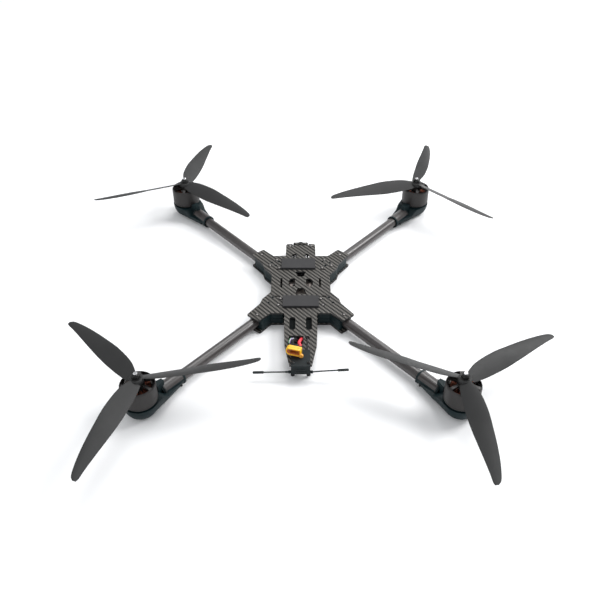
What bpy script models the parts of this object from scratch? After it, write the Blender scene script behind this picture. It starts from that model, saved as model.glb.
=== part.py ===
"""Heavy-lift FPV quadcopter: two carbon plates, four round tube arms, outrunner motors, three-blade propellers.

Units are metres. The origin is the centre of the bottom plate's underside, +Y points to the nose,
+X to the right and +Z up. Every piece is one object; the rotors and the camera hang from an empty
that lies on their axis.
"""

import math

import bmesh
import bpy
from mathutils import Matrix, Vector

# ---------------------------------------------------------------- driving dimensions

GAP = 0.0003

# Motors stand on the corners of a rectangle; the tubes run to them from the centre.
MOTOR_X = 0.2131
MOTOR_Y = 0.2543
ARM_REACH = math.hypot(MOTOR_X, MOTOR_Y)
CORNERS = {"fl": (-1, 1), "fr": (1, 1), "rl": (-1, -1), "rr": (1, -1)}
ARM_ANGLE = {k: math.atan2(y * MOTOR_Y, x * MOTOR_X) for k, (x, y) in CORNERS.items()}

# Heights of the plate sandwich.
PLATE = 0.003
BAY = 0.018
CEILING_Z = PLATE + BAY
DECK_Z = CEILING_Z + PLATE

# Arm tubes.
TUBE_Z = PLATE + BAY / 2
TUBE_RADIUS = 0.008
TUBE_BORE = 0.007
TUBE_INNER_END = 0.048
TUBE_OUTER_END = ARM_REACH - 0.041
CLAMP_BORE = 0.0083
CLAMP_END = 0.1078
CLAMP_INSET = 0.0013

# Plate outline, one quarter of the cross: waist, step, then the finger over the tube.
WAIST_X = 0.0472
WAIST_Y = 0.0235
STEP_OUTER = (0.0597, 0.0405)
STEP_INNER = (0.0628, 0.0525)
SHOULDER = (0.0457, 0.0755)
FINGER_END = 0.1127
FINGER_HALF_WIDTH = 0.0120
FINGER_CHAMFER = 0.0012
LOWER_FINGER_END = 0.1136
LOWER_FINGER_SIDE = 0.0146
NOSE_HALF_WIDTH = 0.0249
NOSE_END = 0.1110
NOSE_RECESS = (0.0128, 0.1070)
TONGUE = ((0.0250, -0.0755), (0.0246, -0.1180), (0.0232, -0.1500), (0.0158, -0.1900))
LOWER_TONGUE = (0.0190, -0.1280)

# Motor mount, a moulded cup with a sleeve for the tube. Its x runs outwards from the motor axis.
MOUNT_RADIUS = 0.0245
MOUNT_FOOT_RADIUS = 0.0185
MOUNT_FOOT_Z = 0.004
MOUNT_SEAT_Z = 0.022
MOUNT_TAIL = 0.066
MOUNT_CREASE = -0.0225
MOUNT_LEDGE = -0.0345
SLEEVE_RADIUS = 0.0105
SLEEVE_END = 0.072

# Outrunner motor.
BELL_RADIUS = 0.0240
BELL_FOOT_Z = 0.0252
BELL_TOP_Z = 0.0556
STATOR_RADIUS = 0.0195
SHAFT_RADIUS = 0.003
SHAFT_BORE = SHAFT_RADIUS + GAP
SHAFT_TOP_Z = 0.0720

# Propeller: 13 inch, 8 inch pitch, three blades.
PROP_RADIUS = 0.1651
PROP_PITCH = 0.200
PROP_HUB_RADIUS = 0.0095
PROP_FOOT_Z = BELL_TOP_Z + 2 * GAP
PROP_TOP_Z = 0.0640
PROP_Z = 0.0610
MAX_BLADE_ANGLE = math.radians(25)
BLADE_DROOP = 0.0035
BLADE_PHASE = {"fl": 78.1, "fr": 76.6, "rl": 15.4, "rr": 32.1}
SPIN = {"fl": 1, "fr": -1, "rl": -1, "rr": 1}
# Share of the radius, chord, and how far the blade's middle sits towards its leading edge.
BLADE = (
    (0.045, 0.0150, -0.0018),
    (0.090, 0.0195, -0.0006),
    (0.150, 0.0236, 0.0008),
    (0.240, 0.0264, 0.0018),
    (0.380, 0.0276, 0.0028),
    (0.520, 0.0254, 0.0033),
    (0.660, 0.0220, 0.0040),
    (0.800, 0.0174, 0.0042),
    (0.910, 0.0128, 0.0036),
    (0.975, 0.0092, 0.0024),
    (1.000, 0.0042, 0.0012),
)

# Battery pads: centre along X, then the front edge and the rear edge along Y.
PAD_HALF_WIDTH = 0.028
PAD_THICKNESS = 0.0035
PADS = {"front": (-0.0038, 0.0635, 0.0362), "rear": (0.0, -0.0360, -0.0630)}

# Tail: two posts, a flexible holder and the dipole antenna.
POST_X = 0.0112
POST_Y = -0.1875
POST_FOOT_Z = 0.003
HOLDER_HALF_WIDTH = 0.0134
HOLDER_FOOT_Z = 0.0110
FLANGE_TOP_Z = 0.0262
ANTENNA_Y = -0.1922
ANTENNA_Z = 0.0134
ANTENNA_REACH = 0.0675
ANTENNA_SLEEVE = 0.0155

# Battery connector, lying on the holder. Its mouth faces -Y before the turn.
CONNECTOR_AT = (-0.0108, -0.1738, 0.0335)
CONNECTOR_TURN = math.radians(-17)
CONNECTOR_WIDTH = 0.0216
CONNECTOR_HEIGHT = 0.0115
CONNECTOR_DEPTH = 0.0085
CAP_DEPTH = 0.0035
PIN_SPACING = 0.0109
LEAD_DIAMETER = 0.0045
WIRE_DIAMETER = 0.0016
RED_ROUTE = (
    (0.0090, -0.0300, 0.0085),
    (0.0090, -0.0450, 0.0080),
    (0.0080, -0.0700, 0.0078),
    (0.0060, -0.0950, 0.0085),
    (0.0040, -0.1120, 0.0110),
    (0.0020, -0.1250, 0.0165),
    (0.0002, -0.1350, 0.0230),
    (-0.0012, -0.1450, 0.0292),
    (-0.0023, -0.1540, 0.0328),
)
BLACK_ROUTE = (
    (0.0010, -0.0300, 0.0085),
    (0.0010, -0.0450, 0.0080),
    (0.0010, -0.0700, 0.0078),
    (-0.0010, -0.0950, 0.0085),
    (-0.0025, -0.1120, 0.0105),
    (-0.0050, -0.1250, 0.0160),
    (-0.0080, -0.1350, 0.0230),
    (-0.0108, -0.1440, 0.0292),
    (-0.0124, -0.1510, 0.0328),
)
SIGNAL_ROUTE = (
    (0.0120, -0.1060, 0.0065),
    (0.0116, -0.1140, 0.0080),
    (0.0110, -0.1230, 0.0140),
    (0.0100, -0.1290, 0.0200),
    (0.0094, -0.1350, 0.0262),
    (0.0094, -0.1430, 0.0275),
    (0.0095, -0.1500, 0.0262),
    (0.0095, -0.1550, 0.0254),
    (0.0095, -0.1594, 0.0252),
)

# Camera, tilting between two brackets under the nose.
CAMERA_Y = 0.1145
CAMERA_Z = 0.011
CAMERA_HALF_WIDTH = 0.0095
CAMERA_HALF_DEPTH = 0.0062
CAMERA_HALF_HEIGHT = 0.0085
CAMERA_CHAMFER = 0.003
LENS_RADIUS = 0.0056
LENS_LENGTH = 0.0085
BRACKET_X = (0.0102, 0.0127)

ROUND = math.radians(35)


# ---------------------------------------------------------------- materials

def material(name, colour, roughness, metallic=0.0):
    """The named material, made on first use."""
    found = bpy.data.materials.get(name)
    if found:
        return found
    made = bpy.data.materials.new(name)
    made.use_nodes = True
    shader = made.node_tree.nodes["Principled BSDF"]
    shader.inputs["Base Color"].default_value = (*colour, 1.0)
    shader.inputs["Roughness"].default_value = roughness
    shader.inputs["Metallic"].default_value = metallic
    made.diffuse_color = (*colour, 1.0)
    return made


def carbon():
    return material("carbon_twill", (0.075, 0.072, 0.068), 0.38)


def tube_carbon():
    return material("carbon_tube", (0.060, 0.056, 0.055), 0.35)


def moulded():
    return material("moulded_nylon", (0.022, 0.034, 0.036), 0.42)


def flexible():
    return material("flexible_print", (0.014, 0.020, 0.023), 0.55)


def black_metal():
    return material("black_aluminium", (0.045, 0.043, 0.044), 0.35, 0.8)


def steel():
    return material("steel", (0.55, 0.55, 0.56), 0.28, 1.0)


def blade_plastic():
    return material("blade_plastic", (0.070, 0.070, 0.072), 0.45)


def circuit():
    return material("circuit_board", (0.012, 0.016, 0.020), 0.5)


# ---------------------------------------------------------------- mesh helpers

def add_object(name, data, mat, parent=None, at=(0, 0, 0), turn=0.0):
    """Link a new object with one material, turned about Z and placed under its parent."""
    made = bpy.data.objects.new(name, data)
    bpy.context.scene.collection.objects.link(made)
    made.data.materials.append(mat)
    made.parent = parent
    made.location = at
    made.rotation_euler = (0, 0, turn)
    return made


def solid(name, bm, mat, parent=None, at=(0, 0, 0), turn=0.0):
    """Turn a bmesh into an object with outward normals and smooth round faces."""
    bmesh.ops.recalc_face_normals(bm, faces=bm.faces[:])
    mesh = bpy.data.meshes.new(name)
    bm.to_mesh(mesh)
    bm.free()
    mesh.shade_smooth()
    mesh.set_sharp_from_angle(angle=ROUND)
    return add_object(name, mesh, mat, parent, at, turn)


def boolean(target, name, bm, operation):
    """Join or cut with a hidden helper that shares the target's place."""
    helper = solid(name, bm, target.data.materials[0], target.parent, target.location, target.rotation_euler.z)
    helper.hide_render = True
    helper.display_type = "WIRE"
    step = target.modifiers.new(name, "BOOLEAN")
    step.operation = operation
    step.solver = "EXACT"
    step.object = helper


def empty_at(name, at):
    made = bpy.data.objects.new(name, None)
    made.location = at
    made.empty_display_size = 0.02
    bpy.context.scene.collection.objects.link(made)
    return made


def arc(centre, radius, start, stop, steps):
    """Points on an arc, angles in degrees, both ends included."""
    angles = (math.radians(start + (stop - start) * i / steps) for i in range(steps + 1))
    return [(centre[0] + radius * math.cos(a), centre[1] + radius * math.sin(a)) for a in angles]


def rounded(points, radius, steps=2):
    """A polygon with each corner replaced by an arc of the given radius."""
    out = []
    for i, corner in enumerate(points):
        here = Vector(corner)
        before = (Vector(points[i - 1]) - here).normalized()
        after = (Vector(points[(i + 1) % len(points)]) - here).normalized()
        half = before.angle(after) / 2
        middle = here + (before + after).normalized() * (radius / math.sin(half))
        first = here + before * (radius / math.tan(half)) - middle
        last = here + after * (radius / math.tan(half)) - middle
        swing = first.angle_signed(last)
        for s in range(steps + 1):
            spoke = Matrix.Rotation(-swing * s / steps, 2) @ first
            out.append(tuple(middle + spoke))
    return out


def rectangle(x, y, half_x, half_y):
    return [(x - half_x, y - half_y), (x + half_x, y - half_y), (x + half_x, y + half_y), (x - half_x, y + half_y)]


def mirrored(points):
    """The other half of an outline or hole, reflected in X and reversed."""
    return [(-x, y) for x, y in reversed(points)]


def slab_mesh(outline, holes, low, high):
    """A flat plate with holes, between two heights."""
    bm = bmesh.new()
    for loop in [outline, *holes]:
        verts = [bm.verts.new((x, y, low)) for x, y in loop]
        for a, b in zip(verts, verts[1:] + verts[:1]):
            bm.edges.new((a, b))
    bmesh.ops.triangle_fill(bm, use_beauty=True, edges=bm.edges[:])
    grown = bmesh.ops.extrude_face_region(bm, geom=bm.faces[:])
    raised = [v for v in grown["geom"] if isinstance(v, bmesh.types.BMVert)]
    bmesh.ops.translate(bm, verts=raised, vec=(0, 0, high - low))
    return bm


def loft_mesh(rings):
    """Skin equal rings of 3-D points and cap both ends."""
    bm = bmesh.new()
    skin = [[bm.verts.new(p) for p in ring] for ring in rings]
    for low, high in zip(skin, skin[1:]):
        for i in range(len(low)):
            bm.faces.new((low[i - 1], low[i], high[i], high[i - 1]))
    bm.faces.new(skin[0])
    bm.faces.new(skin[-1])
    return bm


def turned_mesh(profile, segments, start=0.0):
    """Revolve a closed (radius, z) profile about Z; points on the axis become poles."""
    bm = bmesh.new()
    rings = []
    for radius, z in profile:
        if radius == 0:
            rings.append([bm.verts.new((0, 0, z))] * segments)
            continue
        angles = [start + math.tau * i / segments for i in range(segments)]
        rings.append([bm.verts.new((radius * math.cos(a), radius * math.sin(a), z)) for a in angles])
    for low, high in zip(rings, rings[1:] + rings[:1]):
        for i in range(segments):
            corners = list(dict.fromkeys((low[i - 1], low[i], high[i], high[i - 1])))
            if len(corners) > 2:
                bm.faces.new(corners)
    return bm


def add_block(bm, centre, size):
    """Add a box to a bmesh."""
    place = Matrix.Translation(centre) @ Matrix.Diagonal((*size, 1))
    bmesh.ops.create_cube(bm, size=1, matrix=place)


def add_rod(bm, start, stop, radius, segments=16):
    """Add a capped cylinder between two points."""
    start = Vector(start)
    along = Vector(stop) - start
    place = Matrix.Translation(start + along / 2) @ along.to_track_quat("Z", "Y").to_matrix().to_4x4()
    bmesh.ops.create_cone(
        bm, cap_ends=True, segments=segments, radius1=radius, radius2=radius, depth=along.length, matrix=place
    )


def prism_x_mesh(profile, low, high):
    """Extrude a (y, z) profile along X."""
    return loft_mesh([[(x, y, z) for y, z in profile] for x in (low, high)])


def smooth_route(points, spacing):
    """Evenly spaced points on a Catmull-Rom curve through the given ones."""
    knots = [Vector(p) for p in points]
    knots = [2 * knots[0] - knots[1], *knots, 2 * knots[-1] - knots[-2]]
    fine = []
    for a, b, c, d in zip(knots, knots[1:], knots[2:], knots[3:]):
        for i in range(40):
            t = i / 40
            fine.append(
                0.5 * (2 * b + (c - a) * t + (2 * a - 5 * b + 4 * c - d) * t**2 + (3 * b - a - 3 * c + d) * t**3)
            )
    fine.append(knots[-2])
    travel = [0.0]
    for a, b in zip(fine, fine[1:]):
        travel.append(travel[-1] + (b - a).length)
    count = max(2, round(travel[-1] / spacing))
    route = []
    place = 0
    for step in range(count + 1):
        want = travel[-1] * step / count
        while place < len(fine) - 2 and travel[place + 1] < want:
            place += 1
        share = (want - travel[place]) / (travel[place + 1] - travel[place])
        route.append(fine[place].lerp(fine[place + 1], share))
    return route


# ---------------------------------------------------------------- plates

def on_arm(along, aside):
    """A point over the front right tube: distance from the centre, and sideways towards +X."""
    c = MOTOR_X / ARM_REACH
    s = MOTOR_Y / ARM_REACH
    return (along * c + aside * s, along * s - aside * c)


def finger(end, side):
    """Outline of the front right finger from the waist to the shoulder; side is its width towards the nose."""
    return [
        (WAIST_X, WAIST_Y),
        STEP_OUTER,
        STEP_INNER,
        on_arm(end - FINGER_CHAMFER, FINGER_HALF_WIDTH),
        on_arm(end, FINGER_HALF_WIDTH - FINGER_CHAMFER),
        on_arm(end, FINGER_CHAMFER - side),
        on_arm(end - FINGER_CHAMFER, -side),
        SHOULDER,
    ]


def rear(points):
    """Reflect front points to the rear, keeping the outline's direction."""
    return [(x, -y) for x, y in reversed(points)]


def slot(x, y, half_x, half_y):
    return rounded(rectangle(x, y, half_x, half_y), min(half_x, half_y) * 0.8)


def circle_angles(count):
    return [math.tau * i / count for i in range(count)]


def oval(x, y, half_x, half_y, count):
    return [(x + half_x * math.cos(a), y + half_y * math.sin(a)) for a in circle_angles(count)]


def top_plate():
    nose_corner = arc((NOSE_HALF_WIDTH - 0.004, NOSE_END - 0.004), 0.004, 0, 90, 4)
    recess_x, recess_y = NOSE_RECESS
    right = [
        *TONGUE[::-1],
        *rear(finger(FINGER_END, FINGER_HALF_WIDTH)),
        *finger(FINGER_END, FINGER_HALF_WIDTH),
        (NOSE_HALF_WIDTH, SHOULDER[1]),
        *nose_corner,
        (recess_x + 0.0015, NOSE_END),
        (recess_x, recess_y),
    ]
    side_window = [(0.0088, 0.0110), (0.0088, -0.0085), (0.0150, -0.0095)]
    side_window += [*arc((0.004, 0.0015), 0.0155, -32, 32, 4), (0.0150, 0.0125)]
    holes = [
        slot(0.0309, 0.0011, 0.0015, 0.0122),
        slot(0.0124, -0.0995, 0.0044, 0.0144),
        slot(0.0365, 0.0375, 0.0042, 0.0012),
        slot(0.0365, -0.0340, 0.0042, 0.0012),
        side_window,
        oval(0.0106, 0.0757, 0.0042, 0.0058, 12),
        oval(POST_X, POST_Y, 0.0018, 0.0018, 8),
    ]
    holes += [mirrored(hole) for hole in holes]
    holes.append(rounded([(-0.0045, 0.0175), (0.0045, 0.0175), (0.0090, 0.0310), (-0.0090, 0.0310)], 0.0012))
    holes.append(rounded([(-0.0095, -0.0285), (0.0095, -0.0285), (0.0045, -0.0130), (-0.0045, -0.0130)], 0.0012))
    holes.append(rounded([(-0.0175, -0.1455), (0.0040, -0.1455), (0.0040, -0.1275), (-0.0175, -0.1275)], 0.002))
    holes.append(oval(0.0098, -0.1314, 0.0034, 0.0034, 12))
    bm = slab_mesh(right + mirrored(right), holes, CEILING_Z, DECK_Z)
    solid("top_plate", bm, carbon())


def bottom_plate():
    tongue_x, tongue_y = LOWER_TONGUE
    right = [
        *arc((tongue_x - 0.004, tongue_y + 0.004), 0.004, -90, 0, 3),
        (tongue_x, -SHOULDER[1]),
        *rear(finger(LOWER_FINGER_END, LOWER_FINGER_SIDE)),
        *finger(LOWER_FINGER_END, LOWER_FINGER_SIDE),
    ]
    holes = [
        slot(0.0215, 0.0570, 0.0060, 0.0100),
        slot(0.0215, -0.0570, 0.0060, 0.0080),
        slot(0.0340, 0, 0.0030, 0.0120),
    ]
    holes += [mirrored(hole) for hole in holes]
    bm = slab_mesh(right + mirrored(right), holes, 0, PLATE)
    solid("bottom_plate", bm, carbon())


# ---------------------------------------------------------------- arms

def arm(corner):
    turn = ARM_ANGLE[corner]
    ring = [(TUBE_RADIUS, TUBE_INNER_END), (TUBE_RADIUS, TUBE_OUTER_END), (TUBE_BORE, TUBE_OUTER_END)]
    bm = turned_mesh([*ring, (TUBE_BORE, TUBE_INNER_END)], 20)
    bm.transform(Matrix.Translation((0, 0, TUBE_Z)) @ Matrix.Rotation(math.radians(90), 4, "Y"))
    solid(f"arm_tube_{corner}", bm, tube_carbon(), turn=turn)

    # The clamp fills the finger between the plates and walls the bay beside it.
    inner = [(0.0262, 0.0742), (0.0262, 0.0702), (0.0345, 0.0702), (0.0320, 0.0430), (0.0390, 0.0240)]
    outline = [
        *inner,
        (WAIST_X - CLAMP_INSET, WAIST_Y + 0.0010),
        (STEP_OUTER[0] - CLAMP_INSET, STEP_OUTER[1] + 0.0006),
        (STEP_INNER[0] - CLAMP_INSET, STEP_INNER[1] + 0.0004),
        on_arm(CLAMP_END, FINGER_HALF_WIDTH - CLAMP_INSET),
        on_arm(CLAMP_END, GAP - LOWER_FINGER_SIDE),
        (SHOULDER[0] - CLAMP_INSET / 2, SHOULDER[1] - CLAMP_INSET),
    ]
    sign_x, sign_y = CORNERS[corner]
    placed = [(sign_x * x, sign_y * y) for x, y in outline]
    clamp = solid(f"arm_clamp_{corner}", slab_mesh(placed, [], PLATE + GAP, CEILING_Z - GAP), moulded())
    cutter = bmesh.new()
    along = Vector((math.cos(turn), math.sin(turn), 0))
    height = Vector((0, 0, TUBE_Z))
    add_rod(cutter, height + along * 0.030, height + along * (CLAMP_END + 0.01), CLAMP_BORE, 20)
    boolean(clamp, f"clamp_bore_{corner}", cutter, "DIFFERENCE")


def teardrop(radius, tail_half_width, seat_z, slope_z, tail_z):
    """A ring round the motor that narrows to the tail, at one height under the seat, then lower."""
    tail = Vector((-MOUNT_TAIL, tail_half_width))
    touch = math.atan2(tail.y, tail.x) - math.acos(radius / tail.length)
    round_end = arc((0, 0), radius, -math.degrees(touch), math.degrees(touch), 12)
    start = Vector(round_end[-1])
    upper = []
    for x, z in ((MOUNT_CREASE, seat_z), (MOUNT_LEDGE, slope_z)):
        point = start.lerp(tail, (start.x - x) / (start.x - tail.x))
        upper.append((x, point.y, z))
    upper.append((tail.x, tail.y, tail_z))
    lower = [(x, -y, z) for x, y, z in reversed(upper)]
    return lower + [(x, y, seat_z) for x, y in round_end] + upper


def motor_mount(corner):
    turn = ARM_ANGLE[corner]
    centre = (ARM_REACH * math.cos(turn), ARM_REACH * math.sin(turn), 0)
    tail_width = SLEEVE_RADIUS - 0.0007
    rings = [
        teardrop(MOUNT_FOOT_RADIUS, 0.0070, MOUNT_FOOT_Z, MOUNT_FOOT_Z, MOUNT_FOOT_Z),
        teardrop(MOUNT_RADIUS - 0.0008, tail_width, 0.0150, 0.0110, 0.0100),
        teardrop(MOUNT_RADIUS, tail_width, MOUNT_SEAT_Z, 0.0140, 0.0125),
    ]
    bm = loft_mesh(rings)
    # The top falls behind the seat, so it is split along its two creases into flat faces.
    for edge in (MOUNT_CREASE, MOUNT_LEDGE):
        ends = [v for v in bm.verts if v.co.z > 0.0125 and abs(v.co.x - edge) < 1e-5]
        top = sorted(ends, key=lambda v: v.co.z)[-2:]
        bmesh.ops.connect_verts(bm, verts=top)
    mount = solid(f"motor_mount_{corner}", bm, moulded(), at=centre, turn=turn)

    sleeve = bmesh.new()
    add_rod(sleeve, (-SLEEVE_END, 0, TUBE_Z), (-0.0335, 0, TUBE_Z), SLEEVE_RADIUS, 20)
    boolean(mount, f"mount_sleeve_{corner}", sleeve, "UNION")
    bore = bmesh.new()
    add_rod(bore, (-SLEEVE_END - 0.01, 0, TUBE_Z), (-0.0265, 0, TUBE_Z), CLAMP_BORE, 20)
    boolean(mount, f"mount_bore_{corner}", bore, "DIFFERENCE")
    recess = turned_mesh([(0, 0.0070), (0.0140, 0.0070), (0.0140, 0), (0, 0)], 16)
    boolean(mount, f"mount_recess_{corner}", recess, "DIFFERENCE")


# ---------------------------------------------------------------- motors and propellers

def motor_base(corner, centre):
    foot = MOUNT_SEAT_Z + GAP
    profile = [
        (SHAFT_BORE, foot),
        (0.0215, foot),
        (0.0222, foot + 0.0018),
        (0.0070, foot + 0.0026),
        (0.0055, foot + 0.0040),
        (0.0055, 0.0508),
        (SHAFT_BORE, 0.0508),
    ]
    solid(f"motor_base_{corner}", turned_mesh(profile, 16), black_metal(), at=centre)


def motor_stator(corner, centre):
    """Twelve teeth round a ring."""
    teeth = 12
    outline = []
    for i in range(teeth):
        middle = 360 * i / teeth
        outline += arc((0, 0), 0.0095, middle - 15, middle - 9, 1)
        outline += arc((0, 0), STATOR_RADIUS, middle - 12, middle + 12, 2)
        outline += arc((0, 0), 0.0095, middle + 9, middle + 12, 1)
    bm = slab_mesh(outline, [oval(0, 0, 0.0059, 0.0059, 16)], 0.0290, 0.0485)
    solid(f"motor_stator_{corner}", bm, material("lamination", (0.20, 0.10, 0.06), 0.4, 0.8), at=centre)


def motor_bell(corner, axis):
    profile = [
        (BELL_RADIUS, BELL_FOOT_Z),
        (BELL_RADIUS, 0.0518),
        (0.0225, 0.0542),
        (0.0190, 0.0552),
        (0.0090, BELL_TOP_Z),
        (SHAFT_BORE, BELL_TOP_Z),
        (SHAFT_BORE, 0.0515),
        (0.0195, 0.0515),
        (0.0205, 0.0505),
        (0.0205, BELL_FOOT_Z),
    ]
    bell = solid(f"motor_bell_{corner}", turned_mesh(profile, 20), black_metal(), axis)
    windows = bmesh.new()
    for i in range(5):
        middle = 72 * i
        sector = arc((0, 0), 0.0095, middle + 20, middle - 20, 2) + arc((0, 0), 0.0182, middle - 24, middle + 24, 3)
        rings = [[(x, y, z) for x, y in sector] for z in (0.048, 0.058)]
        piece = loft_mesh(rings)
        mesh = bpy.data.meshes.new("sector")
        piece.to_mesh(mesh)
        piece.free()
        windows.from_mesh(mesh)
        bpy.data.meshes.remove(mesh)
    boolean(bell, f"bell_windows_{corner}", windows, "DIFFERENCE")


def blade_rings(spin):
    """Airfoil sections along +X. The leading edge is high and lies on the side that the blade turns to."""
    half = [(0.0, 0.0), (0.12, 0.62), (0.42, 1.0), (0.75, 0.62), (1.0, 0.12)]
    rings = []
    for share, chord, lead in BLADE:
        radius = share * PROP_RADIUS
        angle = min(MAX_BLADE_ANGLE, math.atan(PROP_PITCH / (math.tau * radius)))
        thick = chord * (0.17 - 0.11 * share)
        camber = 0.045 * chord
        section = []
        for place, swell in half:
            rise = camber * math.sin(math.pi * place)
            section.append((place, rise + thick * swell / 2))
        for place, swell in reversed(half[1:]):
            rise = camber * math.sin(math.pi * place)
            section.append((place, rise - thick * swell / 2))
        ring = []
        for place, rise in section:
            forward = lead + (0.5 - place) * chord * math.cos(angle) + rise * math.sin(angle)
            up = (0.5 - place) * chord * math.sin(angle) + rise * math.cos(angle)
            ring.append((radius, spin * forward, up - BLADE_DROOP * share**2))
        rings.append(ring)
    return rings


def propeller(corner, axis):
    hub = [
        (SHAFT_BORE, PROP_FOOT_Z),
        (PROP_HUB_RADIUS, PROP_FOOT_Z),
        (PROP_HUB_RADIUS, PROP_TOP_Z - 0.0006),
        (PROP_HUB_RADIUS - 0.0006, PROP_TOP_Z),
        (SHAFT_BORE, PROP_TOP_Z),
    ]
    bm = turned_mesh([(r, z - PROP_Z) for r, z in hub], 20)
    phase = math.radians(BLADE_PHASE[corner])
    prop = solid(f"propeller_{corner}", bm, blade_plastic(), axis, (0, 0, PROP_Z), phase)
    for i in range(3):
        blade = loft_mesh(blade_rings(SPIN[corner]))
        blade.transform(Matrix.Rotation(math.tau * i / 3, 4, "Z"))
        boolean(prop, f"blade_{corner}_{i}", blade, "UNION")


def rotor(corner):
    sign_x, sign_y = CORNERS[corner]
    centre = (sign_x * MOTOR_X, sign_y * MOTOR_Y, 0)
    motor_base(corner, centre)
    motor_stator(corner, centre)
    axis = empty_at(f"rotor_axis_{corner}", centre)
    motor_bell(corner, axis)
    shaft = [(0, 0.0227), (SHAFT_RADIUS, 0.0227), (SHAFT_RADIUS, SHAFT_TOP_Z - 0.0005), (0.0025, SHAFT_TOP_Z)]
    solid(f"motor_shaft_{corner}", turned_mesh([*shaft, (0, SHAFT_TOP_Z)], 12), steel(), axis)
    propeller(corner, axis)
    foot = PROP_TOP_Z + GAP
    bore = SHAFT_BORE / math.cos(math.pi / 6)
    nut = [(bore, foot), (0.0058, foot), (0.0062, foot + 0.0008), (0.0055, foot + 0.0050)]
    solid(f"prop_nut_{corner}", turned_mesh([*nut, (bore, foot + 0.0050)], 6), steel(), axis)


# ---------------------------------------------------------------- deck and tail

def battery_pad(place):
    centre, front, back = PADS[place]
    outline = rounded(rectangle(centre, (front + back) / 2, PAD_HALF_WIDTH, (front - back) / 2), 0.002)
    bm = slab_mesh(outline, [], DECK_Z + GAP, DECK_Z + GAP + PAD_THICKNESS)
    solid(f"battery_pad_{place}", bm, material("pad_rubber", (0.085, 0.083, 0.087), 0.7))


def tail_post(side, sign):
    """A pillar under the tail with a stud through the plate and the holder, and a head at each end."""
    head = FLANGE_TOP_Z + GAP
    profile = [
        (0, POST_FOOT_Z),
        (0.0030, POST_FOOT_Z),
        (0.0030, POST_FOOT_Z + 0.0025),
        (0.0025, POST_FOOT_Z + 0.0025),
        (0.0025, CEILING_Z - GAP),
        (0.0015, CEILING_Z - GAP),
        (0.0015, head),
        (0.0027, head),
        (0.0023, head + 0.0018),
        (0, head + 0.0018),
    ]
    solid(f"tail_post_{side}", turned_mesh(profile, 12), black_metal(), at=(sign * POST_X, POST_Y, 0))


def antenna_holder():
    """A flexible block under the tail, a flange over it, and a web round the plate's end."""
    back = -0.1945
    under = CEILING_Z - GAP
    over = DECK_Z + GAP
    plate_end = TONGUE[-1][1] - GAP
    profile = [(back, HOLDER_FOOT_Z), (-0.1790, HOLDER_FOOT_Z), (-0.1790, under), (plate_end, under)]
    profile += [(plate_end, over), (-0.1600, over), (-0.1600, FLANGE_TOP_Z), (back, FLANGE_TOP_Z)]
    block = prism_x_mesh(profile, -HOLDER_HALF_WIDTH, HOLDER_HALF_WIDTH)
    holder = solid("antenna_holder", block, flexible())
    collars = bmesh.new()
    add_rod(collars, (-0.0168, ANTENNA_Y, ANTENNA_Z), (0.0168, ANTENNA_Y, ANTENNA_Z), 0.0021, 12)
    boolean(holder, "holder_collars", collars, "UNION")

    holes = bmesh.new()
    add_rod(holes, (-0.02, ANTENNA_Y, ANTENNA_Z), (0.02, ANTENNA_Y, ANTENNA_Z), 0.0013, 12)
    boolean(holder, "holder_bore", holes, "DIFFERENCE")
    for side, sign in (("left", -1), ("right", 1)):
        hole = bmesh.new()
        add_rod(hole, (sign * POST_X, POST_Y, 0), (sign * POST_X, POST_Y, CEILING_Z + 0.001), 0.0028, 12)
        boolean(holder, f"holder_post_{side}", hole, "DIFFERENCE")
        stud = bmesh.new()
        add_rod(stud, (sign * POST_X, POST_Y, CEILING_Z), (sign * POST_X, POST_Y, 0.03), 0.0018, 8)
        boolean(holder, f"holder_stud_{side}", stud, "DIFFERENCE")
    pocket = bmesh.new()
    add_block(pocket, (0, ANTENNA_Y - 0.0015, ANTENNA_Z - 0.0015), (0.0100, 0.0060, 0.0072))
    boolean(holder, "holder_pocket", pocket, "DIFFERENCE")


def antenna():
    """A dipole: a feed block in the holder and two arms that end in sleeves. The right arm bends up a little."""
    rings = []
    for i in range(-10, 11):
        x = ANTENNA_REACH * i / 10
        free = max(0.0, abs(x) - 0.0168) / (ANTENNA_REACH - 0.0168)
        rise = 0.0042 * free**0.8 if x > 0 else -0.0012 * free
        radius = 0.0019 if abs(x) > ANTENNA_REACH - ANTENNA_SLEEVE else 0.0010
        rings.append([(x, y, z) for y, z in oval(ANTENNA_Y, ANTENNA_Z + rise, radius, radius, 8)])
    rod = solid("antenna", loft_mesh(rings), flexible())
    feed = bmesh.new()
    add_block(feed, (0, ANTENNA_Y - 0.0012, ANTENNA_Z - 0.0012), (0.0090, 0.0048, 0.0060))
    boolean(rod, "antenna_feed", feed, "UNION")


# ---------------------------------------------------------------- connector and leads

def connector_point(x, y, z):
    """A point given in the connector's own frame, as world coordinates."""
    return Vector(CONNECTOR_AT) + Matrix.Rotation(CONNECTOR_TURN, 3, "Z") @ Vector((x, y, z))


def connector_outline(inset):
    """Cross-section in (x, z): a rectangle with two cut corners on the negative side."""
    half_x = CONNECTOR_WIDTH / 2 - inset
    half_z = CONNECTOR_HEIGHT / 2 - inset
    cut = 0.0030
    return [
        (-half_x, cut - half_z),
        (cut - half_x, -half_z),
        (half_x, -half_z),
        (half_x, half_z),
        (cut - half_x, half_z),
        (-half_x, half_z - cut),
    ]


def along_y(outline, low, high):
    return loft_mesh([[(x, y, z) for x, z in outline] for y in (low, high)])


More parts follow.
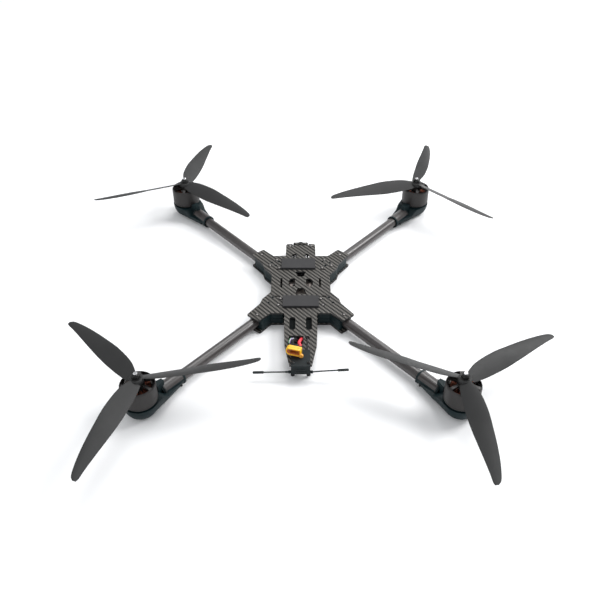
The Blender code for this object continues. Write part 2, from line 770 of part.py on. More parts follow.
def connector():
    yellow = material("connector_nylon", (0.82, 0.53, 0.03), 0.4)
    block = along_y(connector_outline(0), 0, CONNECTOR_DEPTH)
    housing = solid("connector_housing", block, yellow, None, CONNECTOR_AT, CONNECTOR_TURN)
    lug = bmesh.new()
    add_rod(lug, (0.0108, 0.0002, -0.0036), (0.0108, 0.0028, -0.0036), 0.0032, 14)
    boolean(housing, "connector_lug", lug, "UNION")
    boolean(housing, "connector_socket", along_y(connector_outline(0.0014), -0.001, 0.0066), "DIFFERENCE")
    for sign in (-1, 1):
        hole = bmesh.new()
        add_rod(hole, (sign * PIN_SPACING / 2, 0.004, 0), (sign * PIN_SPACING / 2, 0.012, 0), 0.0024, 12)
        boolean(housing, f"connector_hole_{sign + 1}", hole, "DIFFERENCE")

    foot = CONNECTOR_DEPTH + GAP
    cap = along_y(connector_outline(0.0012), foot, foot + CAP_DEPTH)
    cover = solid("connector_cap", cap, flexible(), None, CONNECTOR_AT, CONNECTOR_TURN)
    for sign in (-1, 1):
        hole = bmesh.new()
        add_rod(hole, (sign * PIN_SPACING / 2, 0.006, 0), (sign * PIN_SPACING / 2, 0.016, 0), 0.0031, 12)
        boolean(cover, f"cap_hole_{sign + 1}", hole, "DIFFERENCE")

    gold = material("gold_plate", (0.80, 0.52, 0.20), 0.25, 1.0)
    for name, sign in (("negative", -1), ("positive", 1)):
        pin = bmesh.new()
        add_rod(pin, (sign * PIN_SPACING / 2, 0.0012, 0), (sign * PIN_SPACING / 2, foot + 0.001, 0), 0.0021, 12)
        solid(f"connector_pin_{name}", pin, gold, None, CONNECTOR_AT, CONNECTOR_TURN)


def cord(name, route, diameter, colour):
    """A round cord along a smooth route, with closed ends."""
    points = smooth_route(route, 2.2 * diameter)
    curve = bpy.data.curves.new(name, "CURVE")
    curve.dimensions = "3D"
    curve.bevel_depth = diameter / 2
    curve.bevel_resolution = 2
    curve.use_fill_caps = True
    spline = curve.splines.new("POLY")
    spline.points.add(len(points) - 1)
    for target, point in zip(spline.points, points):
        target.co = (*point, 1.0)
    add_object(name, curve, material(name + "_silicone", colour, 0.4))


def leads():
    """Two power leads from the speed controller up through the tongue, and a thin wire to the antenna holder."""
    back = CONNECTOR_DEPTH + GAP + 0.0014
    for name, route, sign, colour in (
        ("lead_red", RED_ROUTE, 1, (0.75, 0.06, 0.07)),
        ("lead_black", BLACK_ROUTE, -1, (0.02, 0.02, 0.022)),
    ):
        ends = [connector_point(sign * PIN_SPACING / 2, back + ahead, 0) for ahead in (0.0070, 0.0035, 0)]
        cord(name, [*route, *ends], LEAD_DIAMETER, colour)
    cord("signal_wire", SIGNAL_ROUTE, WIRE_DIAMETER, (0.02, 0.02, 0.022))


# ---------------------------------------------------------------- camera

def camera():
    axis = empty_at("camera_tilt_axis", (0, CAMERA_Y, CAMERA_Z))
    depth = CAMERA_HALF_DEPTH
    height = CAMERA_HALF_HEIGHT
    cut = CAMERA_CHAMFER
    profile = [(depth, cut - height), (depth, height - cut), (depth - cut, height), (cut - depth, height)]
    profile += [(-y, -z) for y, z in profile]
    shell = material("camera_shell", (0.02, 0.022, 0.025), 0.4)
    solid("camera_body", prism_x_mesh(profile, -CAMERA_HALF_WIDTH, CAMERA_HALF_WIDTH), shell, axis)
    lens_profile = [
        (0, 0),
        (LENS_RADIUS - 0.0006, 0),
        (LENS_RADIUS, 0.001),
        (LENS_RADIUS, LENS_LENGTH),
        (LENS_RADIUS - 0.0014, LENS_LENGTH),
        (LENS_RADIUS - 0.0022, LENS_LENGTH - 0.0025),
        (0.0025, LENS_LENGTH - 0.0014),
        (0, LENS_LENGTH - 0.0011),
    ]
    bm = turned_mesh(lens_profile, 16)
    bm.transform(Matrix.Translation((0, depth + GAP, 0)) @ Matrix.Rotation(math.radians(-90), 4, "X"))
    solid("camera_lens", bm, shell, axis)


def camera_brackets():
    """Two side plates that hang from the nose of the top plate."""
    high = CEILING_Z - GAP
    outline = [(0.084, high), (0.084, 0.014), (0.099, 0.0045), (0.108, 0.0030), (0.1185, 0.0030), (0.1215, 0.0060)]
    outline += [(0.1215, 0.0165), (0.1170, 0.0200), (0.1085, high)]
    for side, sign in (("left", -1), ("right", 1)):
        low, far = sorted(sign * x for x in BRACKET_X)
        solid(f"camera_bracket_{side}", prism_x_mesh(outline, low, far), flexible())


# ---------------------------------------------------------------- electronics

def board(name, centre, size, parts, colour=None):
    """A circuit board with the blocks that stand on it, joined into one solid."""
    bm = bmesh.new()
    add_block(bm, centre, size)
    made = solid(name, bm, colour or circuit())
    for i, (place, extent) in enumerate(parts):
        block = bmesh.new()
        add_block(block, place, extent)
        boolean(made, f"{name}_block_{i}", block, "UNION")


def electronics():
    spacer = [((x, y, 0.0088), (0.005, 0.005, 0.0110)) for x in (-0.015, 0.015) for y in (-0.015, 0.015)]
    chips = [((0, y, 0.0080), (0.034, 0.007, 0.0030)) for y in (-0.008, 0.008)]
    board("speed_controller", (0, 0, 0.0060), (0.050, 0.050, 0.0020), spacer + chips)
    chips = [((0, 0, 0.0163), (0.010, 0.010, 0.0020)), ((-0.013, 0, 0.0168), (0.007, 0.009, 0.0030))]
    board("flight_controller", (0, 0, 0.0154), (0.036, 0.036, 0.0016), chips)
    fins = [((0, 0.056 + 0.005 * i, 0.0125), (0.026, 0.0020, 0.0070)) for i in (-2, -1, 0, 1, 2)]
    finned = material("heat_sink", (0.10, 0.10, 0.11), 0.4, 0.7)
    board("video_transmitter", (0, 0.056, 0.0070), (0.030, 0.030, 0.0060), fins, finned)
    can = [((0.0120, -0.0930, 0.0052), (0.007, 0.009, 0.0016))]
    board("radio_receiver", (0.0120, -0.0950, 0.0042), (0.011, 0.020, 0.0012), can)

    can = [(0, 0), (0.0056, 0), (0.0062, 0.0006), (0.0062, 0.0022), (0.0057, 0.0028), (0.0062, 0.0034)]
    bm = turned_mesh([*can, (0.0062, 0.0250), (0, 0.0250)], 14)
    bm.transform(Matrix.Rotation(math.radians(90), 4, "X"))
    shell = material("capacitor_sleeve", (0.03, 0.03, 0.05), 0.35)
    solid("capacitor", bm, shell, at=(-0.0115, -0.0820, PLATE + GAP + 0.0064))


def build():
    for existing in list(bpy.data.objects):
        bpy.data.objects.remove(existing)
    bottom_plate()
    top_plate()
    for corner in CORNERS:
        arm(corner)
        motor_mount(corner)
        rotor(corner)
    for place in PADS:
        battery_pad(place)
    tail_post("left", -1)
    tail_post("right", 1)
    antenna_holder()
    antenna()
    connector()
    leads()
    camera()
    camera_brackets()
    electronics()


build()
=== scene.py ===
"""The quadcopter's looks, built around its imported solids. Metres, +Y to the nose, +Z up."""

import math

import bmesh
import bpy
from mathutils import Matrix, Vector


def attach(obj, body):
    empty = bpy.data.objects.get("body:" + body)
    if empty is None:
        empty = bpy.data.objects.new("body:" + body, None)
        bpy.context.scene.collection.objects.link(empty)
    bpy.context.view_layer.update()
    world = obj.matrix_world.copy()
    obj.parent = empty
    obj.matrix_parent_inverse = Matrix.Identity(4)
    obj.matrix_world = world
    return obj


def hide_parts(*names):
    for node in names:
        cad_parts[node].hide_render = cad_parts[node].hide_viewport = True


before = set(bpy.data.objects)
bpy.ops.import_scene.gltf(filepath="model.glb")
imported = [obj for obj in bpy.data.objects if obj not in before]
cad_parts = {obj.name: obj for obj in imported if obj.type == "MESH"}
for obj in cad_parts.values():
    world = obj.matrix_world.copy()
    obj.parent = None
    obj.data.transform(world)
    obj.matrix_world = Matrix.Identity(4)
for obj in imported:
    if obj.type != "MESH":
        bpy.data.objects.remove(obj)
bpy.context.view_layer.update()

# ---------------------------------------------------------------- dimensions, as in the solids

GAP = 0.0003
MOTOR_X = 0.2131
MOTOR_Y = 0.2543
ARM_REACH = math.hypot(MOTOR_X, MOTOR_Y)
CORNERS = {"fl": (-1, 1), "fr": (1, 1), "rl": (-1, -1), "rr": (1, -1)}
ARM_ANGLE = {k: math.atan2(y * MOTOR_Y, x * MOTOR_X) for k, (x, y) in CORNERS.items()}

PLATE = 0.003
CEILING_Z = 0.021
DECK_Z = 0.024
TUBE_Z = 0.012
TUBE_RADIUS = 0.008
TUBE_BORE = 0.007
TUBE_INNER_END = 0.048
TUBE_OUTER_END = ARM_REACH - 0.041

WAIST_X = 0.0472
WAIST_Y = 0.0235
STEP_OUTER = (0.0597, 0.0405)
STEP_INNER = (0.0628, 0.0525)
SHOULDER = (0.0457, 0.0755)
FINGER_END = 0.1127
FINGER_HALF_WIDTH = 0.0120
FINGER_CHAMFER = 0.0012
LOWER_FINGER_END = 0.1136
LOWER_FINGER_SIDE = 0.0146
NOSE_HALF_WIDTH = 0.0249
NOSE_END = 0.1110
TONGUE = ((0.0250, -0.0755), (0.0246, -0.1180), (0.0232, -0.1500), (0.0158, -0.1900))
LOWER_TONGUE = (0.0190, -0.1280)
CLAMP_END = 0.1078
CLAMP_INSET = 0.0013
STACK_HALF_PITCH = 0.0150

MOUNT_RADIUS = 0.0245
MOUNT_FOOT_RADIUS = 0.0185
MOUNT_FOOT_Z = 0.004
MOUNT_SEAT_Z = 0.022
MOUNT_TAIL = 0.066
MOUNT_CREASE = -0.0225
MOUNT_LEDGE = -0.0345
MOUNT_LEDGE_Z = 0.0140
SLEEVE_RADIUS = 0.0105
SLEEVE_END = 0.072
SLEEVE_SKIN = SLEEVE_RADIUS - 0.0004

BELL_RADIUS = 0.0240
BELL_FOOT_Z = 0.0252
BELL_TOP_Z = 0.0556
STATOR_RADIUS = 0.0195
STATOR_Z = 0.0387
TEETH = 12
MAGNETS = 14
SHAFT_RADIUS = 0.003
SHAFT_TOP_Z = 0.0720

PROP_RADIUS = 0.1651
PROP_PITCH = 0.200
PROP_HUB_RADIUS = 0.0095
PROP_FOOT_Z = BELL_TOP_Z + 2 * GAP
PROP_TOP_Z = 0.0640
PROP_Z = 0.0610
MAX_BLADE_ANGLE = math.radians(25)
BLADE_DROOP = 0.0035
BLADE_PHASE = {"fl": 78.1, "fr": 76.6, "rl": 15.4, "rr": 32.1}
SPIN = {"fl": 1, "fr": -1, "rl": -1, "rr": 1}
# Share of the radius, chord, and how far the blade's middle sits towards its leading edge.
BLADE = (
    (0.045, 0.0150, -0.0018),
    (0.090, 0.0195, -0.0006),
    (0.150, 0.0236, 0.0008),
    (0.240, 0.0264, 0.0018),
    (0.380, 0.0276, 0.0028),
    (0.520, 0.0254, 0.0033),
    (0.660, 0.0220, 0.0040),
    (0.800, 0.0174, 0.0042),
    (0.910, 0.0128, 0.0036),
    (0.975, 0.0092, 0.0024),
    (1.000, 0.0042, 0.0012),
)

PAD_HALF_WIDTH = 0.028
PAD_THICKNESS = 0.0035
PADS = {"front": (-0.0038, 0.0635, 0.0362), "rear": (0.0, -0.0360, -0.0630)}

POST_X = 0.0112
POST_Y = -0.1875
HOLDER_HALF_WIDTH = 0.0134
HOLDER_FOOT_Z = 0.0110
HOLDER_BACK_Y = -0.1945
FLANGE_TOP_Z = 0.0262
ANTENNA_Y = -0.1922
ANTENNA_Z = 0.0134
ANTENNA_REACH = 0.0675
ANTENNA_SLEEVE = 0.0155

CONNECTOR_AT = (-0.0108, -0.1738, 0.0335)
CONNECTOR_TURN = math.radians(-17)
CONNECTOR_WIDTH = 0.0216
CONNECTOR_HEIGHT = 0.0115
CONNECTOR_DEPTH = 0.0085
CAP_DEPTH = 0.0035
PIN_SPACING = 0.0109
LEAD_DIAMETER = 0.0045
WIRE_DIAMETER = 0.0016
RED_ROUTE = (
    (0.0090, -0.0300, 0.0085),
    (0.0090, -0.0450, 0.0080),
    (0.0080, -0.0700, 0.0078),
    (0.0060, -0.0950, 0.0085),
    (0.0040, -0.1120, 0.0110),
    (0.0020, -0.1250, 0.0165),
    (0.0002, -0.1350, 0.0230),
    (-0.0012, -0.1450, 0.0292),
    (-0.0023, -0.1540, 0.0328),
)
BLACK_ROUTE = (
    (0.0010, -0.0300, 0.0085),
    (0.0010, -0.0450, 0.0080),
    (0.0010, -0.0700, 0.0078),
    (-0.0010, -0.0950, 0.0085),
    (-0.0025, -0.1120, 0.0105),
    (-0.0050, -0.1250, 0.0160),
    (-0.0080, -0.1350, 0.0230),
    (-0.0108, -0.1440, 0.0292),
    (-0.0124, -0.1510, 0.0328),
)
SIGNAL_ROUTE = (
    (0.0120, -0.1060, 0.0065),
    (0.0116, -0.1140, 0.0080),
    (0.0110, -0.1230, 0.0140),
    (0.0100, -0.1290, 0.0200),
    (0.0094, -0.1350, 0.0262),
    (0.0094, -0.1430, 0.0275),
    (0.0095, -0.1500, 0.0262),
    (0.0095, -0.1550, 0.0254),
    (0.0095, -0.1594, 0.0252),
)

CAMERA_Y = 0.1145
CAMERA_Z = 0.011
CAMERA_HALF_WIDTH = 0.0095
CAMERA_HALF_DEPTH = 0.0062
CAMERA_HALF_HEIGHT = 0.0085
CAMERA_CHAMFER = 0.003
LENS_RADIUS = 0.0056
LENS_LENGTH = 0.0085
BRACKET_X = (0.0102, 0.0127)

# Turns that lay a lathed piece, which is made about Z, along X or Y.
ALONG_X = Matrix.Rotation(math.radians(90), 4, "Y")
ALONG_Y = Matrix.Rotation(math.radians(-90), 4, "X")

# The grain of the materials.
FINE = 0.00001
TOW_WIDTH = 0.001955
TOW_LENGTH = 0.002295
TAPE_PITCH = 0.0026
WINDING_PITCH = 0.0009
PRINT_LAYER = 0.00028


# ---------------------------------------------------------------- materials

class Graph:
    """Short calls that build one material's nodes."""

    def __init__(self, name, roughness=0.5, metallic=0.0, **sockets):
        self.material = bpy.data.materials.new(name)
        self.material.use_nodes = True
        self.tree = self.material.node_tree
        self.shader = self.tree.nodes["Principled BSDF"]
        self.shader.inputs["Roughness"].default_value = roughness
        self.shader.inputs["Metallic"].default_value = metallic
        for key, value in sockets.items():
            self.feed(self.shader.inputs[key.replace("_", " ")], value)

    def feed(self, socket, value):
        if isinstance(value, bpy.types.NodeSocket):
            self.tree.links.new(value, socket)
        elif isinstance(value, tuple) and len(value) == 3 and socket.type == "RGBA":
            socket.default_value = (*value, 1.0)
        else:
            socket.default_value = value

    def add(self, kind, inputs, output=0, **settings):
        node = self.tree.nodes.new(kind)
        for key, value in settings.items():
            setattr(node, key, value)
        for key, value in inputs.items():
            self.feed(node.inputs[key], value)
        return node.outputs[output]

    def math(self, operation, a, b=0.0):
        return self.add("ShaderNodeMath", {0: a, 1: b}, operation=operation)

    def times(self, a, b):
        return self.math("MULTIPLY", a, b)

    def tone(self, a, share_a, b, share_b):
        return self.math("ADD", self.times(a, share_a), self.times(b, share_b))

    def waves(self, value, period):
        return self.math("SINE", self.times(value, math.tau / period))

    def stripes(self, value, period, share):
        return self.math("LESS_THAN", self.math("FRACT", self.times(value, 1 / period)), share)

    def place(self):
        return self.add("ShaderNodeTexCoord", {}, "Object")

    def axes(self, vector):
        split = self.add("ShaderNodeSeparateXYZ", {0: vector}).node
        return split.outputs[0], split.outputs[1], split.outputs[2]

    def noise(self, vector, scale, stretch=(1, 1, 1), detail=3.0):
        scaled = self.add("ShaderNodeMapping", {"Vector": vector, "Scale": stretch})
        return self.add("ShaderNodeTexNoise", {"Vector": scaled, "Scale": scale, "Detail": detail})

    def spread(self, value, low, high, from_low=0.3, from_high=0.7):
        return self.add("ShaderNodeMapRange", {0: value, 1: from_low, 2: from_high, 3: low, 4: high})

    def mix(self, factor, a, b):
        return self.add("ShaderNodeMix", {0: factor, 6: a, 7: b}, 2, data_type="RGBA")

    def blend(self, factor, a, b):
        return self.add("ShaderNodeMix", {0: factor, 2: a, 3: b}, 0, data_type="FLOAT")

    def colour(self, value):
        self.feed(self.shader.inputs["Base Color"], value)

    def roughness(self, value):
        self.feed(self.shader.inputs["Roughness"], value)

    def bump(self, height, distance, strength=1.0):
        made = self.add("ShaderNodeBump", {"Height": height, "Distance": distance, "Strength": strength})
        self.feed(self.shader.inputs["Normal"], made)


def tinted(colour, factor):
    return tuple(min(1.0, c * factor) for c in colour)


def mottled(
    name, colour, roughness, variation, grain, depth=FINE, metallic=0.0, specular=0.5, stretch=(1, 1, 1)
):
    """A surface with a fine grain, slow changes of tone and uneven gloss."""
    g = Graph(name, roughness, metallic, Specular_IOR_Level=specular)
    place = g.place()
    slow = g.noise(place, 45.0, detail=2.0)
    fine = g.noise(place, grain, stretch, 2.0)
    tone = g.tone(slow, 0.6, fine, 0.4)
    g.colour(g.mix(g.spread(tone, 0.0, 1.0), tinted(colour, 1 - variation), tinted(colour, 1 + variation)))
    g.roughness(g.spread(fine, roughness - 0.05, roughness + 0.07))
    g.bump(fine, depth)
    return g.material


def twill():
    """Woven 2 by 2 carbon twill under satin resin, with painted sheen on one direction of tows and a painted
    highlight on each tow's crown; the cut edges show the stacked layers.
    """
    g = Graph("carbon_twill", 0.38, Specular_IOR_Level=0.14)
    place = g.place()
    x, y, z = g.axes(place)
    across = g.math("SUBTRACT", g.math("DIVIDE", x, TOW_WIDTH), 0.2)
    along = g.math("SUBTRACT", g.math("DIVIDE", y, TOW_LENGTH), 0.2)
    column = g.math("FLOOR", across)
    row = g.math("FLOOR", along)
    step = g.math("FLOORED_MODULO", g.math("ADD", column, row), 4.0)
    upper = g.math("LESS_THAN", step, 1.5)
    across_tow = g.math("SINE", g.times(g.math("FRACT", across), math.pi))
    along_tow = g.math("SINE", g.times(g.math("FRACT", along), math.pi))
    profile = g.blend(upper, along_tow, across_tow)
    fibres = g.blend(upper, g.noise(place, 900, (0.12, 5, 1)), g.noise(place, 900, (5, 0.12, 1)))
    # Each tow's tone follows its round profile, a painted highlight on its crown, mixed with real fibre
    # streaks.
    shade = g.spread(g.tone(fibres, 0.5, profile, 0.5), 0, 1, 0.2, 0.8)
    # One direction of tows is coloured light and the other dark: painted sheen, since all tows are the same
    # black fibre and differ only in how they catch light.
    painted_sheen_tows = g.mix(shade, (0.064, 0.061, 0.056), (0.158, 0.148, 0.135))
    dark = g.mix(shade, (0.0015, 0.0020, 0.0020), (0.0070, 0.0070, 0.0068))
    blotch = g.noise(place, 38, detail=2.0)
    weave_and_sheen = g.mix(g.spread(blotch, 0.0, 0.25), g.mix(upper, dark, painted_sheen_tows), (0.045, 0.043, 0.040))
    layered = g.mix(g.stripes(z, 1 / 4000, 0.5), (0.014, 0.015, 0.016), (0.045, 0.045, 0.045))
    _, _, up = g.axes(g.add("ShaderNodeNewGeometry", {}, "Normal"))
    flat = g.math("GREATER_THAN", g.math("ABSOLUTE", up), 0.6)
    g.colour(g.mix(flat, layered, weave_and_sheen))
    g.roughness(g.blend(upper, 0.46, 0.34))
    g.bump(g.times(profile, flat), 0.00005, 0.5)
    return g.material


def tube_carbon():
    """Wrapped carbon tube: faint rings from the wrapping tape and streaks along its length."""
    g = Graph("carbon_tube", 0.36, Specular_IOR_Level=0.55, Coat_Weight=0.25, Coat_Roughness=0.22)
    place = g.place()
    x, _, _ = g.axes(place)
    rings = g.waves(x, TAPE_PITCH)
    wander = g.noise(place, 60, (4, 1, 1))
    streaks = g.noise(place, 420, (0.05, 1, 1))
    tone = g.tone(wander, 0.45, streaks, 0.55)
    body = g.mix(g.spread(tone, 0, 1), (0.014, 0.0110, 0.0105), (0.037, 0.031, 0.030))
    g.colour(g.mix(g.spread(rings, 0.0, 0.16, -1, 1), body, (0.10, 0.088, 0.084)))
    g.roughness(g.spread(tone, 0.30, 0.42))
    g.bump(g.tone(rings, 0.35, wander, 1.2), 0.00004, 0.6)
    return g.material


def windings():
    """Enamelled copper wire, wound round the teeth, with painted shade between the turns."""
    g = Graph("copper_windings", 0.35, 0.85)
    place = g.place()
    _, _, z = g.axes(place)
    turns = g.waves(z, WINDING_PITCH)
    wire = g.mix(g.spread(g.noise(place, 700, detail=2.0), 0, 1), (0.16, 0.045, 0.028), (0.40, 0.15, 0.09))
    # The dark colour at the troughs of the turns is painted shade in the grooves between the wires.
    g.colour(g.mix(g.spread(turns, 0, 1, -1, 0.2), (0.06, 0.016, 0.01), wire))
    g.bump(turns, 0.0002)
    return g.material


def laminations():
    """The stator's thin steel sheets, stacked along Z."""
    g = Graph("laminations", 0.4, 0.7)
    _, _, z = g.axes(g.place())
    g.colour(g.mix(g.stripes(z, 1 / 2500, 0.3), (0.09, 0.085, 0.08), (0.02, 0.02, 0.02)))
    return g.material


def brushed(name, colour, roughness, metallic=1.0):
    """Turned metal: fine rings round the Z axis of the piece."""
    g = Graph(name, roughness, metallic)
    place = g.place()
    x, y, z = g.axes(place)
    radius = g.math("SQRT", g.math("ADD", g.times(x, x), g.times(y, y)))
    rings = g.waves(g.math("ADD", radius, z), 1 / 2600)
    slow = g.noise(place, 160)
    g.colour(g.mix(g.spread(slow, 0, 1), tinted(colour, 0.8), tinted(colour, 1.2)))
    g.roughness(g.spread(slow, roughness - 0.06, roughness + 0.1))
    g.bump(rings, 0.000008, 0.5)
    return g.material


def printed(name, colour, roughness):
    """Flexible printed plastic with fine layer lines."""
    g = Graph(name, roughness, Specular_IOR_Level=0.3)
    place = g.place()
    _, _, z = g.axes(place)
    slow = g.noise(place, 220)
    g.colour(g.mix(g.spread(slow, 0, 1), tinted(colour, 0.7), tinted(colour, 1.35)))
    g.bump(g.math("ADD", g.waves(z, PRINT_LAYER), slow), 0.00003, 0.6)
    return g.material


def board_material():
    """Dark solder mask with faint tracks."""
    g = Graph("circuit_board", 0.35)
    place = g.place()
    x, y, _ = g.axes(place)
    cells = g.add("ShaderNodeTexVoronoi", {"Vector": place, "Scale": 420.0}, distance="MANHATTAN")
    tracks = g.stripes(g.math("ADD", x, y), 1 / 700, 0.4)
    mask = g.mix(tracks, (0.078, 0.068, 0.063), (0.135, 0.115, 0.105))
    g.colour(g.mix(g.spread(cells, 1, 0, 0.10, 0.16), mask, (0.42, 0.36, 0.24)))
    return g.material


def magnets():
    """Bright plated magnets inside the bell."""
    g = Graph("magnets", 0.25, 0.9)
    g.colour(g.mix(g.spread(g.noise(g.place(), 300), 0, 1), (0.30, 0.30, 0.31), (0.5, 0.5, 0.51)))
    return g.material


def lens_glass():
    """Coated front glass: dark with a violet to green sheen."""
    g = Graph("lens_glass", 0.05, Specular_IOR_Level=0.8, Coat_Weight=1.0, Coat_Roughness=0.02)
    rim = g.add("ShaderNodeLayerWeight", {"Blend": 0.35}, "Facing")
    g.colour(g.mix(rim, (0.012, 0.006, 0.030), (0.010, 0.035, 0.030)))
    return g.material


MATERIAL = {
    "twill": twill(),
    "tube": tube_carbon(),
    "copper": windings(),
    "stack": laminations(),
    "magnet": magnets(),
    "board": board_material(),
    "glass": lens_glass(),
    "bell": brushed("bell_anodised", (0.0175, 0.0155, 0.015), 0.45, 0.2),
    "hub_metal": brushed("black_metal", (0.016, 0.016, 0.016), 0.36, 0.5),
    "steel": brushed("steel", (0.58, 0.58, 0.59), 0.24),
    "tin": brushed("bare_aluminium", (0.62, 0.62, 0.63), 0.3),
    "flexible": printed("flexible_print", (0.0022, 0.0062, 0.0080), 0.62),
    "nylon": mottled("moulded_nylon", (0.0045, 0.0135, 0.0160), 0.5, 0.25, 1600, 0.000025, specular=0.2),
    "blade": mottled(
        "blade_plastic", (0.0235, 0.0235, 0.0237), 0.52, 0.10, 900, 0.000015, 0.0, 0.26, (0.2, 1, 1)
    ),
    "screw_head": mottled("steel_screws", (0.34, 0.32, 0.31), 0.34, 0.25, 2500, metallic=1.0),
    "screw": mottled("black_screws", (0.018, 0.018, 0.019), 0.33, 0.25, 2500, metallic=0.7),
    "pad": mottled("pad_rubber", (0.042, 0.0412, 0.0425), 0.7, 0.10, 2200, 0.00004, specular=0.16),
    "pad_dark_base": mottled("pad_dark_base", (0.020, 0.020, 0.022), 0.85, 0.3, 1500, 0.0001),
    "yellow": mottled("connector_nylon", (0.90, 0.50, 0.012), 0.34, 0.06, 900),
    # Painted shade for the inside of the socket; the connector's nylon is yellow throughout.
    "socket_shade": mottled("connector_inside_shade", (0.42, 0.092, 0.012), 0.5, 0.12, 900),
    # Painted shade: a darker, more orange copy of the connector's yellow nylon for the lug.
    "tan": mottled("connector_lip_shade", (0.78, 0.36, 0.05), 0.4, 0.10, 900),
    # Real gold plating, darkened to red-brown as painted shade from inside the socket.
    "gold": mottled("gold_pins", (0.40, 0.16, 0.04), 0.45, 0.10, 900, metallic=1.0),
    "red": mottled("lead_red", (0.72, 0.035, 0.055), 0.38, 0.10, 1200, 0.00002),
    "black": mottled("lead_black", (0.006, 0.006, 0.008), 0.50, 0.20, 1200, 0.00002, specular=0.25),
    "white_wire": mottled("wire_white", (0.62, 0.62, 0.66), 0.42, 0.08, 1200),
    "violet_wire": mottled("wire_violet", (0.16, 0.06, 0.30), 0.42, 0.08, 1200),
    "green_wire": mottled("wire_green", (0.03, 0.20, 0.06), 0.42, 0.08, 1200),
    "brown_wire": mottled("wire_brown", (0.075, 0.040, 0.025), 0.5, 0.2, 1200),
    "cover": mottled("bay_cover", (0.0035, 0.0050, 0.0052), 0.7, 0.25, 1500, 0.00004, specular=0.1),
    "shrink": mottled("heat_shrink", (0.003, 0.0075, 0.0085), 0.45, 0.2, 900, 0.00003),
    "chip": mottled("chip_black", (0.040, 0.038, 0.038), 0.45, 0.2, 2500),
    "solder": mottled("solder", (0.55, 0.55, 0.57), 0.3, 0.15, 1500, 0.00003, metallic=1.0),
    "sink": mottled("heat_sink", (0.09, 0.09, 0.10), 0.38, 0.15, 1500, metallic=0.7),
    "can": mottled("capacitor_sleeve", (0.016, 0.018, 0.045), 0.3, 0.12, 900),
    "shell": mottled("camera_shell", (0.010, 0.012, 0.013), 0.42, 0.2, 1800, 0.00002),
    "sealant": mottled("beige_socket", (0.210, 0.175, 0.160), 0.5, 0.08, 900),
}


# ---------------------------------------------------------------- mesh helpers

def baked(name, bm):
    """The bmesh as a named mesh; the bmesh is freed."""
    mesh = bpy.data.meshes.new(name)
    bm.to_mesh(mesh)
    bm.free()
    return mesh


def smoothed(mesh, angle=34):
    mesh.shade_smooth()
    mesh.set_sharp_from_angle(angle=math.radians(angle))
    return mesh


def piece(
    name, bm, material, body="frame", replaces=(), slot=None, at=(0, 0, 0), turn=0.0, bevel=0.0, steps=2,
    soft=34,
):
    """An object that rides on a body, smooth on round faces, with rounded edges if asked for."""
    bmesh.ops.remove_doubles(bm, verts=bm.verts[:], dist=1e-6)
    bmesh.ops.recalc_face_normals(bm, faces=bm.faces[:])
    mesh = smoothed(baked(name, bm), soft)
    return placed(name, mesh, material, body, replaces, slot, at, turn, bevel, steps)


def placed(name, data, material, body, replaces=(), slot=None, at=(0, 0, 0), turn=0.0, bevel=0.0, steps=2):
    """An object made from a mesh or curve, riding on a body, in the place of CAD nodes if they are named."""
    made = bpy.data.objects.new(name, data)
    bpy.context.scene.collection.objects.link(made)
    if not data.materials:
        data.materials.append(MATERIAL[material])
    made.location = at
    made.rotation_euler = (0, 0, turn)
    if bevel:
        round_edges(made, bevel, steps)
    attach(made, body)
    if replaces:
        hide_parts(*replaces)
    return made


def round_edges(made, width, segments=2, angle=40, harden=True):
    step = made.modifiers.new("rounded edges", "BEVEL")
    step.width = width
    step.segments = segments
    step.limit_method = "ANGLE"
    step.angle_limit = math.radians(angle)
    step.harden_normals = harden


def cut(target, bm, operation="DIFFERENCE"):
    """Cut or join a mesh into an unbevelled piece for good, in the piece's own frame."""
    bmesh.ops.recalc_face_normals(bm, faces=bm.faces[:])
    helper = bpy.data.objects.new("cutter", baked("cutter", bm))
    bpy.context.view_layer.update()
    helper.matrix_world = target.matrix_world.copy()
    bpy.context.scene.collection.objects.link(helper)
    step = target.modifiers.new("cut", "BOOLEAN")
    step.operation = operation
    step.solver = "EXACT"
    step.use_self = True
    step.object = helper
    bpy.context.view_layer.update()
    solved = bpy.data.meshes.new_from_object(target.evaluated_get(bpy.context.evaluated_depsgraph_get()))
    target.modifiers.remove(step)
    target.data = smoothed(solved)
    bpy.data.objects.remove(helper)


def arc(centre, radius, start, stop, steps):
    angles = (math.radians(start + (stop - start) * i / steps) for i in range(steps + 1))
    return [(centre[0] + radius * math.cos(a), centre[1] + radius * math.sin(a)) for a in angles]


def circle(x, y, radius, count=20):
    angles = [math.tau * i / count for i in range(count)]
    return [(x + radius * math.cos(a), y + radius * math.sin(a)) for a in angles]


def rounded(points, radius, steps=5):
    """A polygon with each corner replaced by an arc of the given radius."""
    out = []
    for i, corner in enumerate(points):
        here = Vector(corner)
        before = (Vector(points[i - 1]) - here).normalized()
        after = (Vector(points[(i + 1) % len(points)]) - here).normalized()
        half = before.angle(after) / 2
        middle = here + (before + after).normalized() * (radius / math.sin(half))
        first = here + before * (radius / math.tan(half)) - middle
        last = here + after * (radius / math.tan(half)) - middle
        swing = first.angle_signed(last)
        for s in range(steps + 1):
            out.append(tuple(middle + Matrix.Rotation(-swing * s / steps, 2) @ first))
    return out


def rectangle(x, y, half_x, half_y):
    signs = ((-1, -1), (1, -1), (1, 1), (-1, 1))
    return [(x + sx * half_x, y + sy * half_y) for sx, sy in signs]


def mirrored(points):
    return [(-x, y) for x, y in reversed(points)]


